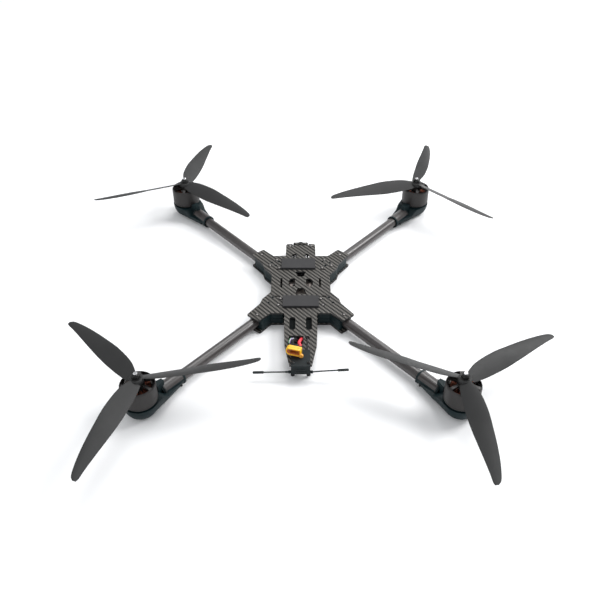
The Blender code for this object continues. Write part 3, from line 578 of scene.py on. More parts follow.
def slab(outline, holes, low, high, into=None):
    """A flat plate with holes, between two heights, poured into another mesh if one is given."""
    bm = bmesh.new()
    for loop in [outline, *holes]:
        verts = [bm.verts.new((x, y, low)) for x, y in loop]
        for a, b in zip(verts, verts[1:] + verts[:1]):
            bm.edges.new((a, b))
    bmesh.ops.triangle_fill(bm, use_beauty=True, edges=bm.edges[:])
    grown = bmesh.ops.extrude_face_region(bm, geom=bm.faces[:])
    raised = [v for v in grown["geom"] if isinstance(v, bmesh.types.BMVert)]
    bmesh.ops.translate(bm, verts=raised, vec=(0, 0, high - low))
    bmesh.ops.dissolve_limit(bm, angle_limit=0.001, verts=bm.verts[:], edges=bm.edges[:])
    if into is None:
        return bm
    mesh = baked("part", bm)
    into.from_mesh(mesh)
    bpy.data.meshes.remove(mesh)
    return into


def loft(rings, into=None, caps=True):
    """Skin equal rings of 3-D points."""
    bm = into or bmesh.new()
    skin = [[bm.verts.new(p) for p in ring] for ring in rings]
    for low, high in zip(skin, skin[1:]):
        for i in range(len(low)):
            bm.faces.new((low[i - 1], low[i], high[i], high[i - 1]))
    if caps:
        bm.faces.new(skin[0])
        bm.faces.new(skin[-1])
    return bm


def lathe(profile, segments=48, into=None, place=None, closed=True):
    """Revolve a (radius, z) profile about Z; points on the axis become poles."""
    bm = into or bmesh.new()
    place = place or Matrix.Identity(4)
    angles = [math.tau * i / segments for i in range(segments)]
    rings = []
    for radius, z in profile:
        if radius == 0:
            rings.append([bm.verts.new(place @ Vector((0, 0, z)))] * segments)
        else:
            ring = [place @ Vector((radius * math.cos(a), radius * math.sin(a), z)) for a in angles]
            rings.append([bm.verts.new(p) for p in ring])
    for low, high in zip(rings, rings[1:] + (rings[:1] if closed else [])):
        for i in range(segments):
            corners = list(dict.fromkeys((low[i - 1], low[i], high[i], high[i - 1])))
            if len(corners) > 2:
                bm.faces.new(corners)
    return bm


def block(bm, centre, size, turn=None):
    place = Matrix.Translation(centre) @ (turn or Matrix.Identity(4)) @ Matrix.Diagonal((*size, 1))
    bmesh.ops.create_cube(bm, size=1, matrix=place)


def towards(start, stop):
    """Placement whose Z axis runs from start to stop, with its origin at start."""
    along = Vector(stop) - Vector(start)
    return Matrix.Translation(start) @ along.to_track_quat("Z", "Y").to_matrix().to_4x4()


def rod(bm, start, stop, radius, segments=32, chamfer=0.0):
    """A round rod from start to stop, poured into a mesh, or into a new one for None."""
    length = (Vector(stop) - Vector(start)).length
    c = chamfer
    profile = [(0, 0), (radius - c, 0), (radius, c), (radius, length - c), (radius - c, length), (0, length)]
    if not c:
        profile = [(0, 0), (radius, 0), (radius, length), (0, length)]
    return lathe(profile, segments, bm, towards(start, stop), closed=False)


def screw(bm, at, radius=0.0027, height=0.0016, up=(0, 0, 1)):
    """A button-head screw with a hexagon socket."""
    place = towards(at, Vector(at) + Vector(up))
    across = radius * 0.42
    angles = [math.tau * s / 24 for s in range(24)]
    climb = [math.radians(8 + 68 * i / 5) for i in range(6)]
    dome = [(radius * math.cos(a), height * math.sin(a)) for a in climb]
    rings = [[(r * math.cos(a), r * math.sin(a), z) for a in angles] for r, z in [(radius, 0), *dome]]
    top = dome[-1][1]
    for depth, share in ((top, 1.0), (top - height * 0.6, 0.98)):
        ring = []
        for a in angles:
            reach = share * across * math.cos(math.pi / 6) / math.cos((a % (math.pi / 3)) - math.pi / 6)
            ring.append((reach * math.cos(a), reach * math.sin(a), depth))
        rings.append(ring)
    loft([[place @ Vector(p) for p in ring] for ring in rings], bm)


def smooth_route(points, spacing):
    """Evenly spaced points on a Catmull-Rom curve through the given ones."""
    knots = [Vector(p) for p in points]
    knots = [2 * knots[0] - knots[1], *knots, 2 * knots[-1] - knots[-2]]
    fine = []
    for a, b, c, d in zip(knots, knots[1:], knots[2:], knots[3:]):
        for i in range(40):
            t = i / 40
            bend = (2 * a - 5 * b + 4 * c - d) * t**2
            fine.append(0.5 * (2 * b + (c - a) * t + bend + (3 * b - a - 3 * c + d) * t**3))
    fine.append(knots[-2])
    travel = [0.0]
    for a, b in zip(fine, fine[1:]):
        travel.append(travel[-1] + (b - a).length)
    count = max(2, round(travel[-1] / spacing))
    route = []
    at = 0
    for step in range(count + 1):
        want = travel[-1] * step / count
        while at < len(fine) - 2 and travel[at + 1] < want:
            at += 1
        share = (want - travel[at]) / (travel[at + 1] - travel[at])
        route.append(fine[at].lerp(fine[at + 1], share))
    return route, travel[-1]


def cable(name, route, diameter, material, spacing=0.0015):
    """A round cable as a curve with closed ends; returns the object and its length."""
    points, length = smooth_route(route, spacing)
    curve = bpy.data.curves.new(name, "CURVE")
    curve.dimensions = "3D"
    curve.bevel_depth = diameter / 2
    curve.bevel_resolution = 5
    curve.use_fill_caps = True
    spline = curve.splines.new("POLY")
    spline.points.add(len(points) - 1)
    for target, point in zip(spline.points, points):
        target.co = (*point, 1.0)
    spline.use_smooth = True
    return placed(name, curve, material, "frame"), length


# ---------------------------------------------------------------- camera, light and floor

def studio():
    data = bpy.data.cameras.new("camera")
    data.sensor_width = 36.0
    data.lens = 43.815
    data.shift_x = -0.0011
    data.shift_y = -0.0031
    data.clip_start = 0.02
    view = bpy.data.objects.new("camera", data)
    view.location = (0, -0.9308, 0.7308)
    view.rotation_euler = (math.radians(51.6), 0, 0)
    bpy.context.scene.collection.objects.link(view)
    bpy.context.scene.camera = view
    bpy.context.scene.view_settings.view_transform = "Standard"

    world = bpy.data.worlds.new("studio")
    world.use_nodes = True
    sky = world.node_tree.nodes["Background"].inputs
    sky["Color"].default_value = (0.96, 0.98, 1.0, 1)
    sky["Strength"].default_value = 0.72
    bpy.context.scene.world = world
    for name, at, size, energy in (
        ("key", (1.6, 0.5, 1.5), 1.0, 34.0),
        ("top", (0.30, 1.15, 2.1), 1.3, 24.0),
        ("fill", (-1.6, -1.2, 1.4), 1.4, 6.0),
        ("rim", (0.75, 2.1, 0.55), 0.8, 6.0),
    ):
        lamp = bpy.data.lights.new(name, "AREA")
        lamp.shape = "DISK"
        lamp.size = size
        lamp.energy = energy
        holder = bpy.data.objects.new(name, lamp)
        holder.location = at
        holder.rotation_euler = (-Vector(at)).to_track_quat("-Z", "Y").to_euler()
        bpy.context.scene.collection.objects.link(holder)

    bm = bmesh.new()
    bmesh.ops.create_grid(bm, x_segments=8, y_segments=8, size=6.0)
    floor = bpy.data.objects.new("floor", baked("floor", bm))
    floor.location = (0, 0, -0.0004)
    bpy.context.scene.collection.objects.link(floor)
    g = Graph("floor", 0.9, Specular_IOR_Level=0.1)
    g.colour(g.mix(g.spread(g.noise(g.place(), 3.0), 0, 1), (0.90, 0.90, 0.905), (0.92, 0.92, 0.925)))
    floor.data.materials.append(g.material)


# ---------------------------------------------------------------- plates

def on_arm(along, aside):
    """A point over the front right tube: distance from the centre, and sideways towards +X."""
    c = MOTOR_X / ARM_REACH
    s = MOTOR_Y / ARM_REACH
    return (along * c + aside * s, along * s - aside * c)


def finger(end, side):
    return [
        (WAIST_X, WAIST_Y),
        STEP_OUTER,
        STEP_INNER,
        on_arm(end - FINGER_CHAMFER, FINGER_HALF_WIDTH),
        on_arm(end, FINGER_HALF_WIDTH - FINGER_CHAMFER),
        on_arm(end, FINGER_CHAMFER - side),
        on_arm(end - FINGER_CHAMFER, -side),
        SHOULDER,
    ]


def rear(points):
    return [(x, -y) for x, y in reversed(points)]


def slot(x, y, half_x, half_y):
    return rounded(rectangle(x, y, half_x, half_y), min(half_x, half_y) * 0.8)


def spread_to_corners(x, y):
    return [(sx * x, sy * y) for sx, sy in CORNERS.values()]


ARM_SCREWS = spread_to_corners(*on_arm(0.1030, -0.0006))
ROOT_SCREWS = [
    (sign * x, y)
    for x, y in ((0.0398, 0.0635), (0.0350, 0.0410), (0.0505, 0.0480), (0.0345, -0.0560), (0.0312, -0.0400))
    for sign in (-1, 1)
]
SPARE_HOLES = [
    (sign * x, y)
    for x, y in ((0.0480, 0.0560), (0.0360, 0.0590), (0.0410, 0.0480), (0.0500, -0.0500), (0.0440, -0.0370))
    for sign in (-1, 1)
]
DECK_SCREWS = ARM_SCREWS + ROOT_SCREWS
NOSE_SCREWS = [(-0.0180, 0.1045), (0.0180, 0.1045)]
TONGUE_SCREWS = [(-0.0165, -0.1215), (0.0165, -0.1215)]


def top_plate():
    nose_corner = arc((NOSE_HALF_WIDTH - 0.004, NOSE_END - 0.004), 0.004, 0, 90, 8)
    right = [
        *TONGUE[::-1],
        *rear(finger(FINGER_END, FINGER_HALF_WIDTH)),
        *finger(FINGER_END, FINGER_HALF_WIDTH),
        (NOSE_HALF_WIDTH, SHOULDER[1]),
        *nose_corner,
        (0.0143, NOSE_END),
        (0.0128, 0.1070),
    ]
    bulge = arc((0.004, 0.0015), 0.0155, -32, 32, 10)
    window = [(0.0088, -0.0085), (0.0150, -0.0095), *bulge, (0.0150, 0.0125), (0.0088, 0.0110)]
    holes = [
        slot(0.0309, 0.0011, 0.0015, 0.0122),
        slot(0.0124, -0.0995, 0.0044, 0.0144),
        slot(0.0365, 0.0375, 0.0042, 0.0012),
        slot(0.0365, -0.0340, 0.0042, 0.0012),
        window,
        *[circle(x, y, 0.0025, 24) for x, y in SPARE_HOLES if x > 0],
        [(0.0106 + 0.0042 * x, 0.0757 + 0.0058 * y) for x, y in circle(0, 0, 1, 24)],
    ]
    holes += [mirrored(hole) for hole in holes]
    front = [(-0.0045, 0.0175), (0.0045, 0.0175), (0.0090, 0.0310), (-0.0090, 0.0310)]
    back = [(-0.0095, -0.0285), (0.0095, -0.0285), (0.0045, -0.0130), (-0.0045, -0.0130)]
    lead_opening = [(-0.0175, -0.1455), (0.0040, -0.1455), (0.0040, -0.1275), (-0.0175, -0.1275)]
    holes += [rounded(front, 0.0012), rounded(back, 0.0012), rounded(lead_opening, 0.002)]
    holes.append(circle(0.0098, -0.1314, 0.0034))
    bm = slab(right + mirrored(right), holes, CEILING_Z, DECK_Z)
    piece("deck_plate", bm, "twill", "frame", ["top_plate"], "carbon_twill", bevel=0.0003)


def bottom_plate():
    tongue_x, tongue_y = LOWER_TONGUE
    right = [
        *arc((tongue_x - 0.004, tongue_y + 0.004), 0.004, -90, 0, 6),
        (tongue_x, -SHOULDER[1]),
        *rear(finger(LOWER_FINGER_END, LOWER_FINGER_SIDE)),
        *finger(LOWER_FINGER_END, LOWER_FINGER_SIDE),
    ]
    holes = [
        slot(0.0215, 0.0570, 0.0060, 0.0100),
        slot(0.0215, -0.0570, 0.0060, 0.0080),
        slot(0.0340, 0, 0.0030, 0.0120),
    ]
    holes += [mirrored(hole) for hole in holes]
    sunk = DECK_SCREWS + spread_to_corners(STACK_HALF_PITCH, STACK_HALF_PITCH)
    holes += [circle(x, y, 0.0030) for x, y in sunk]
    bm = slab(right + mirrored(right), holes, 0, PLATE)
    piece("belly_plate", bm, "twill", "frame", ["bottom_plate"], "carbon_twill", bevel=0.0003)
    heads = bmesh.new()
    head = [(0, 0.0014), (0.0011, 0.0014), (0.0012, 0.0002), (0.0029, 0.0002), (0.0016, 0.0024), (0, 0.0024)]
    for x, y in sunk:
        lathe(head, 24, heads, Matrix.Translation((x, y, 0)), closed=False)
    piece("belly_screws", heads, "screw", slot="steel")


def deck_hardware():
    """Button-head screws in the top plate, dark cups that close its spare holes, and the spacers under its
    tongue.
    """
    heads = bmesh.new()
    rings = bmesh.new()
    washer = [(0.0012, -0.0002), (0.0030, -0.0002), (0.0030, 0.0002), (0.0027, 0.0004), (0.0019, 0.0002)]
    for x, y in DECK_SCREWS + NOSE_SCREWS:
        screw(heads, (x, y, DECK_Z + 0.0002), 0.0017, 0.0011)
        lathe([*washer, (0.0012, 0.0002)], 28, rings, Matrix.Translation((x, y, DECK_Z)))
    piece("deck_screws", heads, "screw_head", slot="steel")
    # Dark cups close the spare holes a little below the top, each with a thin raised rim.
    hole_cups = bmesh.new()
    cup_profile = [(0, -0.0016), (0.0016, -0.0016), (0.0017, 0), (0.0022, 0.0002), (0.0026, 0), (0.0026, -0.0020)]
    for x, y in SPARE_HOLES:
        lathe([*cup_profile, (0, -0.0020)], 28, hole_cups, Matrix.Translation((x, y, DECK_Z)), closed=False)
    piece("deck_hole_cups", hole_cups, "shrink", slot="steel")
    piece("deck_washers", rings, "screw", slot="steel")
    spacers = bmesh.new()
    for x, y in [*TONGUE_SCREWS, (-0.0165, -0.0790), (0.0165, -0.0790)]:
        rod(spacers, (x, y, PLATE), (x, y, CEILING_Z), 0.0025, 24, 0.0003)
    piece("tongue_spacers", spacers, "hub_metal", slot="black_aluminium")


def battery_pads():
    """Rubber sheets on a thin, darker bottom layer."""
    for place, (centre, front, back) in PADS.items():
        middle = (front + back) / 2
        half = (front - back) / 2
        base = DECK_Z + GAP
        seam = base + 0.0012
        outline = rounded(rectangle(centre, middle, PAD_HALF_WIDTH - 0.0002, half - 0.0002), 0.0016)
        sheet = slab(outline, [], seam, base + PAD_THICKNESS)
        rest = ("pad", "frame", [f"battery_pad_{place}"], "pad_rubber")
        pad = piece(f"battery_sheet_{place}", sheet, *rest, bevel=0.0005, steps=3)
        inner = rounded(rectangle(centre, middle, PAD_HALF_WIDTH, half), 0.0016)
        # A darker sheet, a little wider than the rubber, along the foot of each pad.
        piece(f"battery_dark_base_{place}", slab(inner, [], DECK_Z, seam), "pad_dark_base", slot="pad_rubber")


# ---------------------------------------------------------------- arms

def arm(corner):
    turn = ARM_ANGLE[corner]
    edge = TUBE_RADIUS - 0.0004
    ring = [
        (TUBE_RADIUS, TUBE_INNER_END + 0.0004),
        (TUBE_RADIUS, 0.110),
        (TUBE_RADIUS, 0.180),
        (TUBE_RADIUS, TUBE_OUTER_END - 0.0004),
        (edge, TUBE_OUTER_END),
        (TUBE_BORE, TUBE_OUTER_END),
        (TUBE_BORE, TUBE_INNER_END),
        (edge, TUBE_INNER_END),
    ]
    tube = lathe(ring, 64, place=Matrix.Translation((0, 0, TUBE_Z)) @ ALONG_X)
    piece(f"tube_{corner}", tube, "tube", "frame", [f"arm_tube_{corner}"], "carbon_tube", turn=turn)

    sign_x, sign_y = CORNERS[corner]
    outline = [
        (0.0262, 0.0742),
        (0.0262, 0.0702),
        (0.0345, 0.0702),
        (0.0320, 0.0430),
        (0.0390, 0.0240),
        (WAIST_X - CLAMP_INSET, WAIST_Y + 0.0010),
        (STEP_OUTER[0] - CLAMP_INSET, STEP_OUTER[1] + 0.0006),
        (STEP_INNER[0] - CLAMP_INSET, STEP_INNER[1] + 0.0004),
        on_arm(CLAMP_END, FINGER_HALF_WIDTH - CLAMP_INSET),
        on_arm(CLAMP_END, GAP - LOWER_FINGER_SIDE),
        (SHOULDER[0] - CLAMP_INSET / 2, SHOULDER[1] - CLAMP_INSET),
    ]
    axis = Vector((math.cos(turn), math.sin(turn), 0))
    middle = Vector((0, 0, TUBE_Z))

    def bored(target):
        start = middle + axis * 0.025
        cut(target, rod(None, start, middle + axis * (CLAMP_END + 0.01), TUBE_RADIUS + 0.0001, 48))

    shaped = rounded([(sign_x * x, sign_y * y) for x, y in outline], 0.0012, 3)
    halves = slab(shaped, [], PLATE + GAP, TUBE_Z - 0.0003)
    slab(shaped, [], TUBE_Z + 0.0003, CEILING_Z - GAP, halves)
    clamp = piece(f"clamp_{corner}", halves, "nylon", "frame", [f"arm_clamp_{corner}"], "moulded_nylon")
    bored(clamp)
    round_edges(clamp, 0.0004, angle=30)

    inner = rounded([(sign_x * x * 0.985, sign_y * y * 0.985) for x, y in outline], 0.0012, 3)
    core = slab(inner, [], TUBE_Z - 0.0005, TUBE_Z + 0.0005)
    bored(piece(f"clamp_seam_{corner}", core, "shrink", slot="moulded_nylon"))


def mount_section(radius, tail_half_width):
    """Half outline of the mount in plan, from the nose of the round end to the tail."""
    tail = Vector((-MOUNT_TAIL, tail_half_width))
    touch = math.degrees(math.atan2(tail.y, tail.x) - math.acos(radius / tail.length))
    round_end = arc((0, 0), radius, 0, touch, 24)
    start = Vector(round_end[-1])
    flank = []
    for i in range(1, 25):
        x = start.x + (tail.x - start.x) * i / 24
        flank.append(tuple(start.lerp(tail, (start.x - x) / (start.x - tail.x))))
    return round_end + flank


def mount_top(x):
    """Height of the mount's top: the seat, a fall behind it, and the low tail."""
    if x > MOUNT_CREASE:
        return MOUNT_SEAT_Z
    if x > MOUNT_LEDGE:
        share = (MOUNT_CREASE - x) / (MOUNT_CREASE - MOUNT_LEDGE)
        return MOUNT_SEAT_Z + (MOUNT_LEDGE_Z - MOUNT_SEAT_Z) * (share * share * (3 - 2 * share))
    share = (MOUNT_LEDGE - x) / (MOUNT_LEDGE + MOUNT_TAIL)
    return MOUNT_LEDGE_Z - 0.0015 * share


def mount_shell():
    """The mount's skin: a foot that swells into the round end and runs back to the tail."""
    levels = 14
    rows = []
    for level in range(levels + 1):
        s = level / levels
        grow = math.sin(s * math.pi / 2) ** 0.75
        radius = MOUNT_FOOT_RADIUS + (MOUNT_RADIUS - MOUNT_FOOT_RADIUS) * grow
        tail_width = 0.0070 + (SLEEVE_RADIUS - 0.0007 - 0.0070) * grow
        half = mount_section(radius, tail_width)
        ring = [(x, y, MOUNT_FOOT_Z + s * (mount_top(x) - MOUNT_FOOT_Z)) for x, y in half]
        ring += [(x, -y, z) for x, y, z in reversed(ring[1:])]
        rows.append(ring)
    bm = loft(rows, caps=False)
    bm.verts.ensure_lookup_table()
    count = len(rows[0])
    # The foot and the top are closed by strips across the mount.
    for base in (0, levels * count):
        for i in range(count // 2):
            left = [bm.verts[base + (i + k) % count] for k in (0, 1)]
            right = [bm.verts[base + (count - i - k) % count] for k in (0, 1)]
            corners = list(dict.fromkeys((left[0], left[1], right[1], right[0])))
            if len(corners) > 2:
                bm.faces.new(corners)
    return bm


def carve_mount(mount):
    """Join the sleeve and its rim on, then cut the tube's bore, the foot's recess and the cable window."""
    back = -SLEEVE_END
    cut(mount, rod(None, (back + 0.0005, 0, TUBE_Z), (-0.0335, 0, TUBE_Z), SLEEVE_SKIN, 48), "UNION")
    rim_end = (back + 0.0032, 0, TUBE_Z)
    cut(mount, rod(None, (back, 0, TUBE_Z), rim_end, SLEEVE_RADIUS + 0.0003, 48, 0.0004), "UNION")
    cut(mount, rod(None, (back - 0.01, 0, TUBE_Z), (-0.0265, 0, TUBE_Z), TUBE_RADIUS + 0.0001, 48))
    cut(mount, lathe([(0, 0.0066), (0.0150, 0.0066), (0.0156, 0.0), (0, 0.0)], 48, closed=False))
    window = [(-0.0400, -0.0028), (-0.0262, -0.0062), (-0.0262, 0.0062), (-0.0400, 0.0028)]
    cut(mount, slab(window, [], TUBE_Z, 0.030))


def motor_mount(corner, shared):
    """A moulded cup under the motor that runs into a sleeve round the tube."""
    turn = ARM_ANGLE[corner]
    centre = (ARM_REACH * math.cos(turn), ARM_REACH * math.sin(turn), 0)
    place = dict(at=centre, turn=turn)
    look = ("nylon", "moulded_nylon", "motor_mount")
    mount = corner_piece(shared, "mount", corner, mount_shell, *look, carve=carve_mount, soft=30, **place)
    round_edges(mount, 0.0004, harden=False)

    # The tube's wrap goes on over the sleeve's upper side, up to a collar under the motor.
    rings = []
    for x, lift in (
        (-0.0716, -0.0004), (-0.0713, 0.00035), (-0.0600, 0.00035),
        (-0.0480, 0.00035), (-0.0372, 0.00035), (-0.0369, -0.0004),
    ):
        reach = SLEEVE_SKIN + lift
        half = [(reach, math.radians(22 + 8.5 * i)) for i in range(17)]
        half += [(reach - 0.0012, math.radians(158 - 8.5 * i)) for i in range(17)]
        rings.append([(x, r * math.cos(a), TUBE_Z + r * math.sin(a)) for r, a in half])
    piece(f"sleeve_wrap_{corner}", loft(rings), "tube", slot="carbon_tube", **place)
    band = [(0.0090, 0), (0.0112, 0), (0.0115, 0.0004), (0.0115, 0.0016), (0.0112, 0.0020), (0.0090, 0.0020)]
    collar = lathe(band, 48, place=Matrix.Translation((-0.0372, 0, TUBE_Z)) @ ALONG_X)
    piece(f"sleeve_collar_{corner}", collar, "shrink", slot="moulded_nylon", **place)

    # Clamp screws on the sleeve's flank, the motor's bolts below, and its three cables.
    bolts = bmesh.new()
    for x in (-0.062, -0.048):
        for side in (-1, 1):
            screw(bolts, (x, side * 0.0112, 0.0085), 0.0019, 0.0012, (0, side, 0.15))
    for i in range(4):
        a = math.radians(45 + 90 * i)
        screw(bolts, (0.0095 * math.cos(a), 0.0095 * math.sin(a), 0.0066), 0.0024, 0.0018, (0, 0, -1))
    piece(f"mount_bolts_{corner}", bolts, "screw", slot="steel", **place)
    frame_of = Matrix.Translation(centre) @ Matrix.Rotation(turn, 4, "Z")
    for side in (-1, 0, 1):
        route = [
            (-0.0440, 0.0030 * side, TUBE_Z - 0.001),
            (-0.0360, 0.0031 * side, TUBE_Z + 0.0010),
            (-0.0290, 0.0033 * side, 0.0165),
            (-0.0245, 0.0036 * side, 0.0215),
            (-0.0215, 0.0038 * side, 0.0238),
            (-0.0180, 0.0040 * side, 0.0240),
        ]
        cable(f"motor_wire_{corner}_{side + 1}", [frame_of @ Vector(p) for p in route], 0.0026, "black")


# ---------------------------------------------------------------- motors and propellers

def corner_piece(
    shared, name, corner, build, material, slot_name, node=None, body="frame", at=(0, 0, 0), turn=0.0,
    soft=34, carve=None,
):
    """The first corner builds and carves a mesh, and the other three use it too."""
    replaced = [f"{node}_{corner}"] if node else []
    rest = (material, body, replaced, slot_name, at, turn)
    if name in shared:
        return placed(f"{name}_{corner}", shared[name], *rest)
    made = piece(f"{name}_{corner}", build(), *rest, soft=soft)
    if carve:
        carve(made)
    shared[name] = made.data
    return made


def motor_base():
    foot = MOUNT_SEAT_Z + GAP
    bore = SHAFT_RADIUS + 0.00005
    profile = [
        (bore, foot),
        (0.0215, foot),
        (0.0222, foot + 0.0008),
        (0.0218, foot + 0.0020),
        (0.0120, foot + 0.0026),
        (0.0060, foot + 0.0034),
        (0.0055, foot + 0.0050),
        (0.0055, 0.0506),
        (bore, 0.0506),
    ]
    return lathe(profile, 64)


def stator_stack():
    outline = []
    for i in range(TEETH):
        middle = 360 * i / TEETH
        outline += arc((0, 0), 0.0085, middle - 15, middle - 6, 2)
        outline += arc((0, 0), 0.0172, middle - 4, middle - 4, 1)[:1]
        outline += arc((0, 0), STATOR_RADIUS, middle - 13, middle + 13, 6)
        outline += arc((0, 0), 0.0172, middle + 4, middle + 4, 1)[:1]
        outline += arc((0, 0), 0.0085, middle + 6, middle + 12, 1)
    return slab(outline, [circle(0, 0, 0.0057, 36)], 0.0315, 0.0458)


def blunt(value, power):
    """A sine or cosine with its sign kept and its curve flattened."""
    return math.copysign(abs(value) ** power, value)


def coils():
    """Seven turns of wire round each tooth, as rounded loops that widen outwards."""
    bm = bmesh.new()
    angles = [math.tau * k / 28 for k in range(28)]
    loop = [(blunt(math.cos(a), 0.5), blunt(math.sin(a), 0.4)) for a in angles]
    for i in range(TEETH):
        spin = Matrix.Rotation(math.radians(360 // TEETH * i), 4, "Z")
        for j in range(7):
            x = 0.0097 + 0.0012 * j
            reach = 0.0013 + 0.00022 * j + 0.0006
            rise = 0.0090 + 0.0003 * (j % 2)
            ring = [(reach * y, STATOR_Z + rise * z) for y, z in loop]
            rings = []
            for dx, shrink in ((-0.00055, 0.90), (-0.0003, 1.0), (0.0003, 1.0), (0.00055, 0.90)):
                flatter = 0.6 + 0.4 * shrink
                flat = [(x + dx, y * shrink, STATOR_Z + (z - STATOR_Z) * flatter) for y, z in ring]
                rings.append([spin @ Vector(p) for p in flat])
            loft(rings, bm)
    return bm


def bell_shell():
    profile = [
        (BELL_RADIUS - 0.0005, BELL_FOOT_Z),
        (BELL_RADIUS, BELL_FOOT_Z + 0.0005),
        (BELL_RADIUS, 0.0272),
        (BELL_RADIUS - 0.0003, 0.0275),
        (BELL_RADIUS - 0.0003, 0.0279),
        (BELL_RADIUS, 0.0282),
        (BELL_RADIUS, 0.0500),
        *[(0.0195 + 0.0045 * math.cos(a), 0.0502 + 0.0046 * math.sin(a)) for a in (0.2, 0.5, 0.8, 1.1, 1.35)],
        (0.0190, 0.0550),
        (0.0130, 0.0554),
        (0.0095, BELL_TOP_Z),
        (SHAFT_RADIUS + 0.0002, BELL_TOP_Z),
        (SHAFT_RADIUS + 0.0002, 0.0515),
        (0.0080, 0.0515),
        (0.0110, 0.0524),
        (0.0190, 0.0520),
        (0.0212, 0.0500),
        (0.0216, BELL_FOOT_Z + 0.0004),
    ]
    return lathe(profile, 96)


def carve_bell(bell):
    """Six windows in the bell's top."""
    windows = bmesh.new()
    for i in range(6):
        middle = 60 * i
        inner = arc((0, 0), 0.0100, middle + 19, middle - 19, 1)
        outer = arc((0, 0), 0.0226, middle - 24, middle + 24, 6)
        slab(rounded(inner + outer, 0.0009, 3), [], 0.0492, 0.0600, windows)
    cut(bell, windows)


def magnet_ring():
    bm = bmesh.new()
    for i in range(MAGNETS):
        middle = 360 * i / MAGNETS
        outer = arc((0, 0), 0.0216, middle - 11, middle + 11, 3)
        inner = arc((0, 0), 0.0201, middle + 11, middle - 11, 3)
        slab(outer + inner, [], BELL_FOOT_Z + 0.0012, 0.0486, bm)
    return bm


def shaft():
    profile = [(0, 0.0228), (SHAFT_RADIUS, 0.0228), (SHAFT_RADIUS, SHAFT_TOP_Z - 0.0008)]
    return lathe([*profile, (SHAFT_RADIUS - 0.0007, SHAFT_TOP_Z), (0, SHAFT_TOP_Z)], 32, closed=False)


def nut():
    """A washer, and a hexagon nut with a turned collar."""
    bm = lathe([(0.0031, 0.0643), (0.0072, 0.0643), (0.0074, 0.0646), (0.0072, 0.0650), (0.0031, 0.0650)], 48)
    rings = []
    for share, z in ((0.93, 0.0650), (1.0, 0.0654), (1.0, 0.0680), (0.93, 0.0685)):
        rings.append([(share * x, share * y, z) for x, y in circle(0, 0, 0.0060, 6)])
    loft(rings, bm)
    collar = [(0.0032, 0.0685), (0.0046, 0.0685), (0.0046, 0.0696), (0.0040, 0.0701), (0.0032, 0.0701)]
    return lathe(collar, 36, bm)


def motor(corner, shared):
    sign_x, sign_y = CORNERS[corner]
    fixed = dict(at=(sign_x * MOTOR_X, sign_y * MOTOR_Y, 0))
    turning = dict(fixed, body=f"rotor_{corner}")
    corner_piece(shared, "base", corner, motor_base, "hub_metal", "black_aluminium", "motor_base", **fixed)
    corner_piece(shared, "stator_stack", corner, stator_stack, "stack", "lamination", "motor_stator", **fixed)
    corner_piece(shared, "windings", corner, coils, "copper", "lamination", **fixed)
    look = ("bell", "black_aluminium", "motor_bell")
    bell = corner_piece(shared, "bell", corner, bell_shell, *look, carve=carve_bell, soft=24, **turning)
    round_edges(bell, 0.00025, angle=50, harden=False)
    corner_piece(shared, "magnets", corner, magnet_ring, "magnet", "steel", **turning)
    corner_piece(shared, "shaft", corner, shaft, "steel", "steel", "motor_shaft", **turning)
    corner_piece(shared, "nut", corner, nut, "hub_metal", "steel", "prop_nut", **turning)


def curve_through(table, share):
    """Chord and lead at a share of the radius, on a smooth curve through the table."""
    spot = next(i for i in range(len(table) - 1) if share <= table[i + 1][0] + 1e-9)
    p1 = table[spot]
    p2 = table[spot + 1]
    p0 = table[max(spot - 1, 0)]
    p3 = table[min(spot + 2, len(table) - 1)]
    span = p2[0] - p1[0]
    t = (share - p1[0]) / span
    found = []
    for k in (1, 2):
        slope_1 = (p2[k] - p0[k]) / (p2[0] - p0[0]) * span
        slope_2 = (p3[k] - p1[k]) / (p3[0] - p1[0]) * span
        found.append(
            (2 * t**3 - 3 * t**2 + 1) * p1[k]
            + (t**3 - 2 * t**2 + t) * slope_1
            + (3 * t**2 - 2 * t**3) * p2[k]
            + (t**3 - t**2) * slope_2
        )
    return found


def blade_rings(spin):
    """Airfoil sections along +X. The leading edge is high and lies on the side that the blade turns to."""
    rings = []
    around = 18
    root = BLADE[0][0]
    shares = [root + (0.93 - root) * i / 34 for i in range(35)]
    shares += [0.945, 0.96, 0.972, 0.982, 0.99, 0.996, 1.0]
    for share in shares:
        chord, lead = curve_through(BLADE, share)
        radius = share * PROP_RADIUS
        angle = min(MAX_BLADE_ANGLE, math.atan(PROP_PITCH / (math.tau * radius)))
        thick = chord * (0.17 - 0.11 * share)
        ring = []
        for i in range(2 * around):
            a = math.pi * i / around
            place = 0.5 - 0.5 * math.cos(a)
            swell = 0.2969 * math.sqrt(place) - 0.126 * place - 0.3516 * place**2
            swell = 2.6 * (swell + 0.2843 * place**3 - 0.0986 * place**4)
            camber = 0.045 * chord * math.sin(math.pi * place)
            rise = camber + math.copysign(thick * swell * 1.9, math.sin(a + 1e-9)) / 2
            forward = lead + (0.5 - place) * chord * math.cos(angle) + rise * math.sin(angle)
            up = (0.5 - place) * chord * math.sin(angle) + rise * math.cos(angle)
            ring.append((radius, spin * forward, up - BLADE_DROOP * share**2))
        rings.append(ring)
    return rings


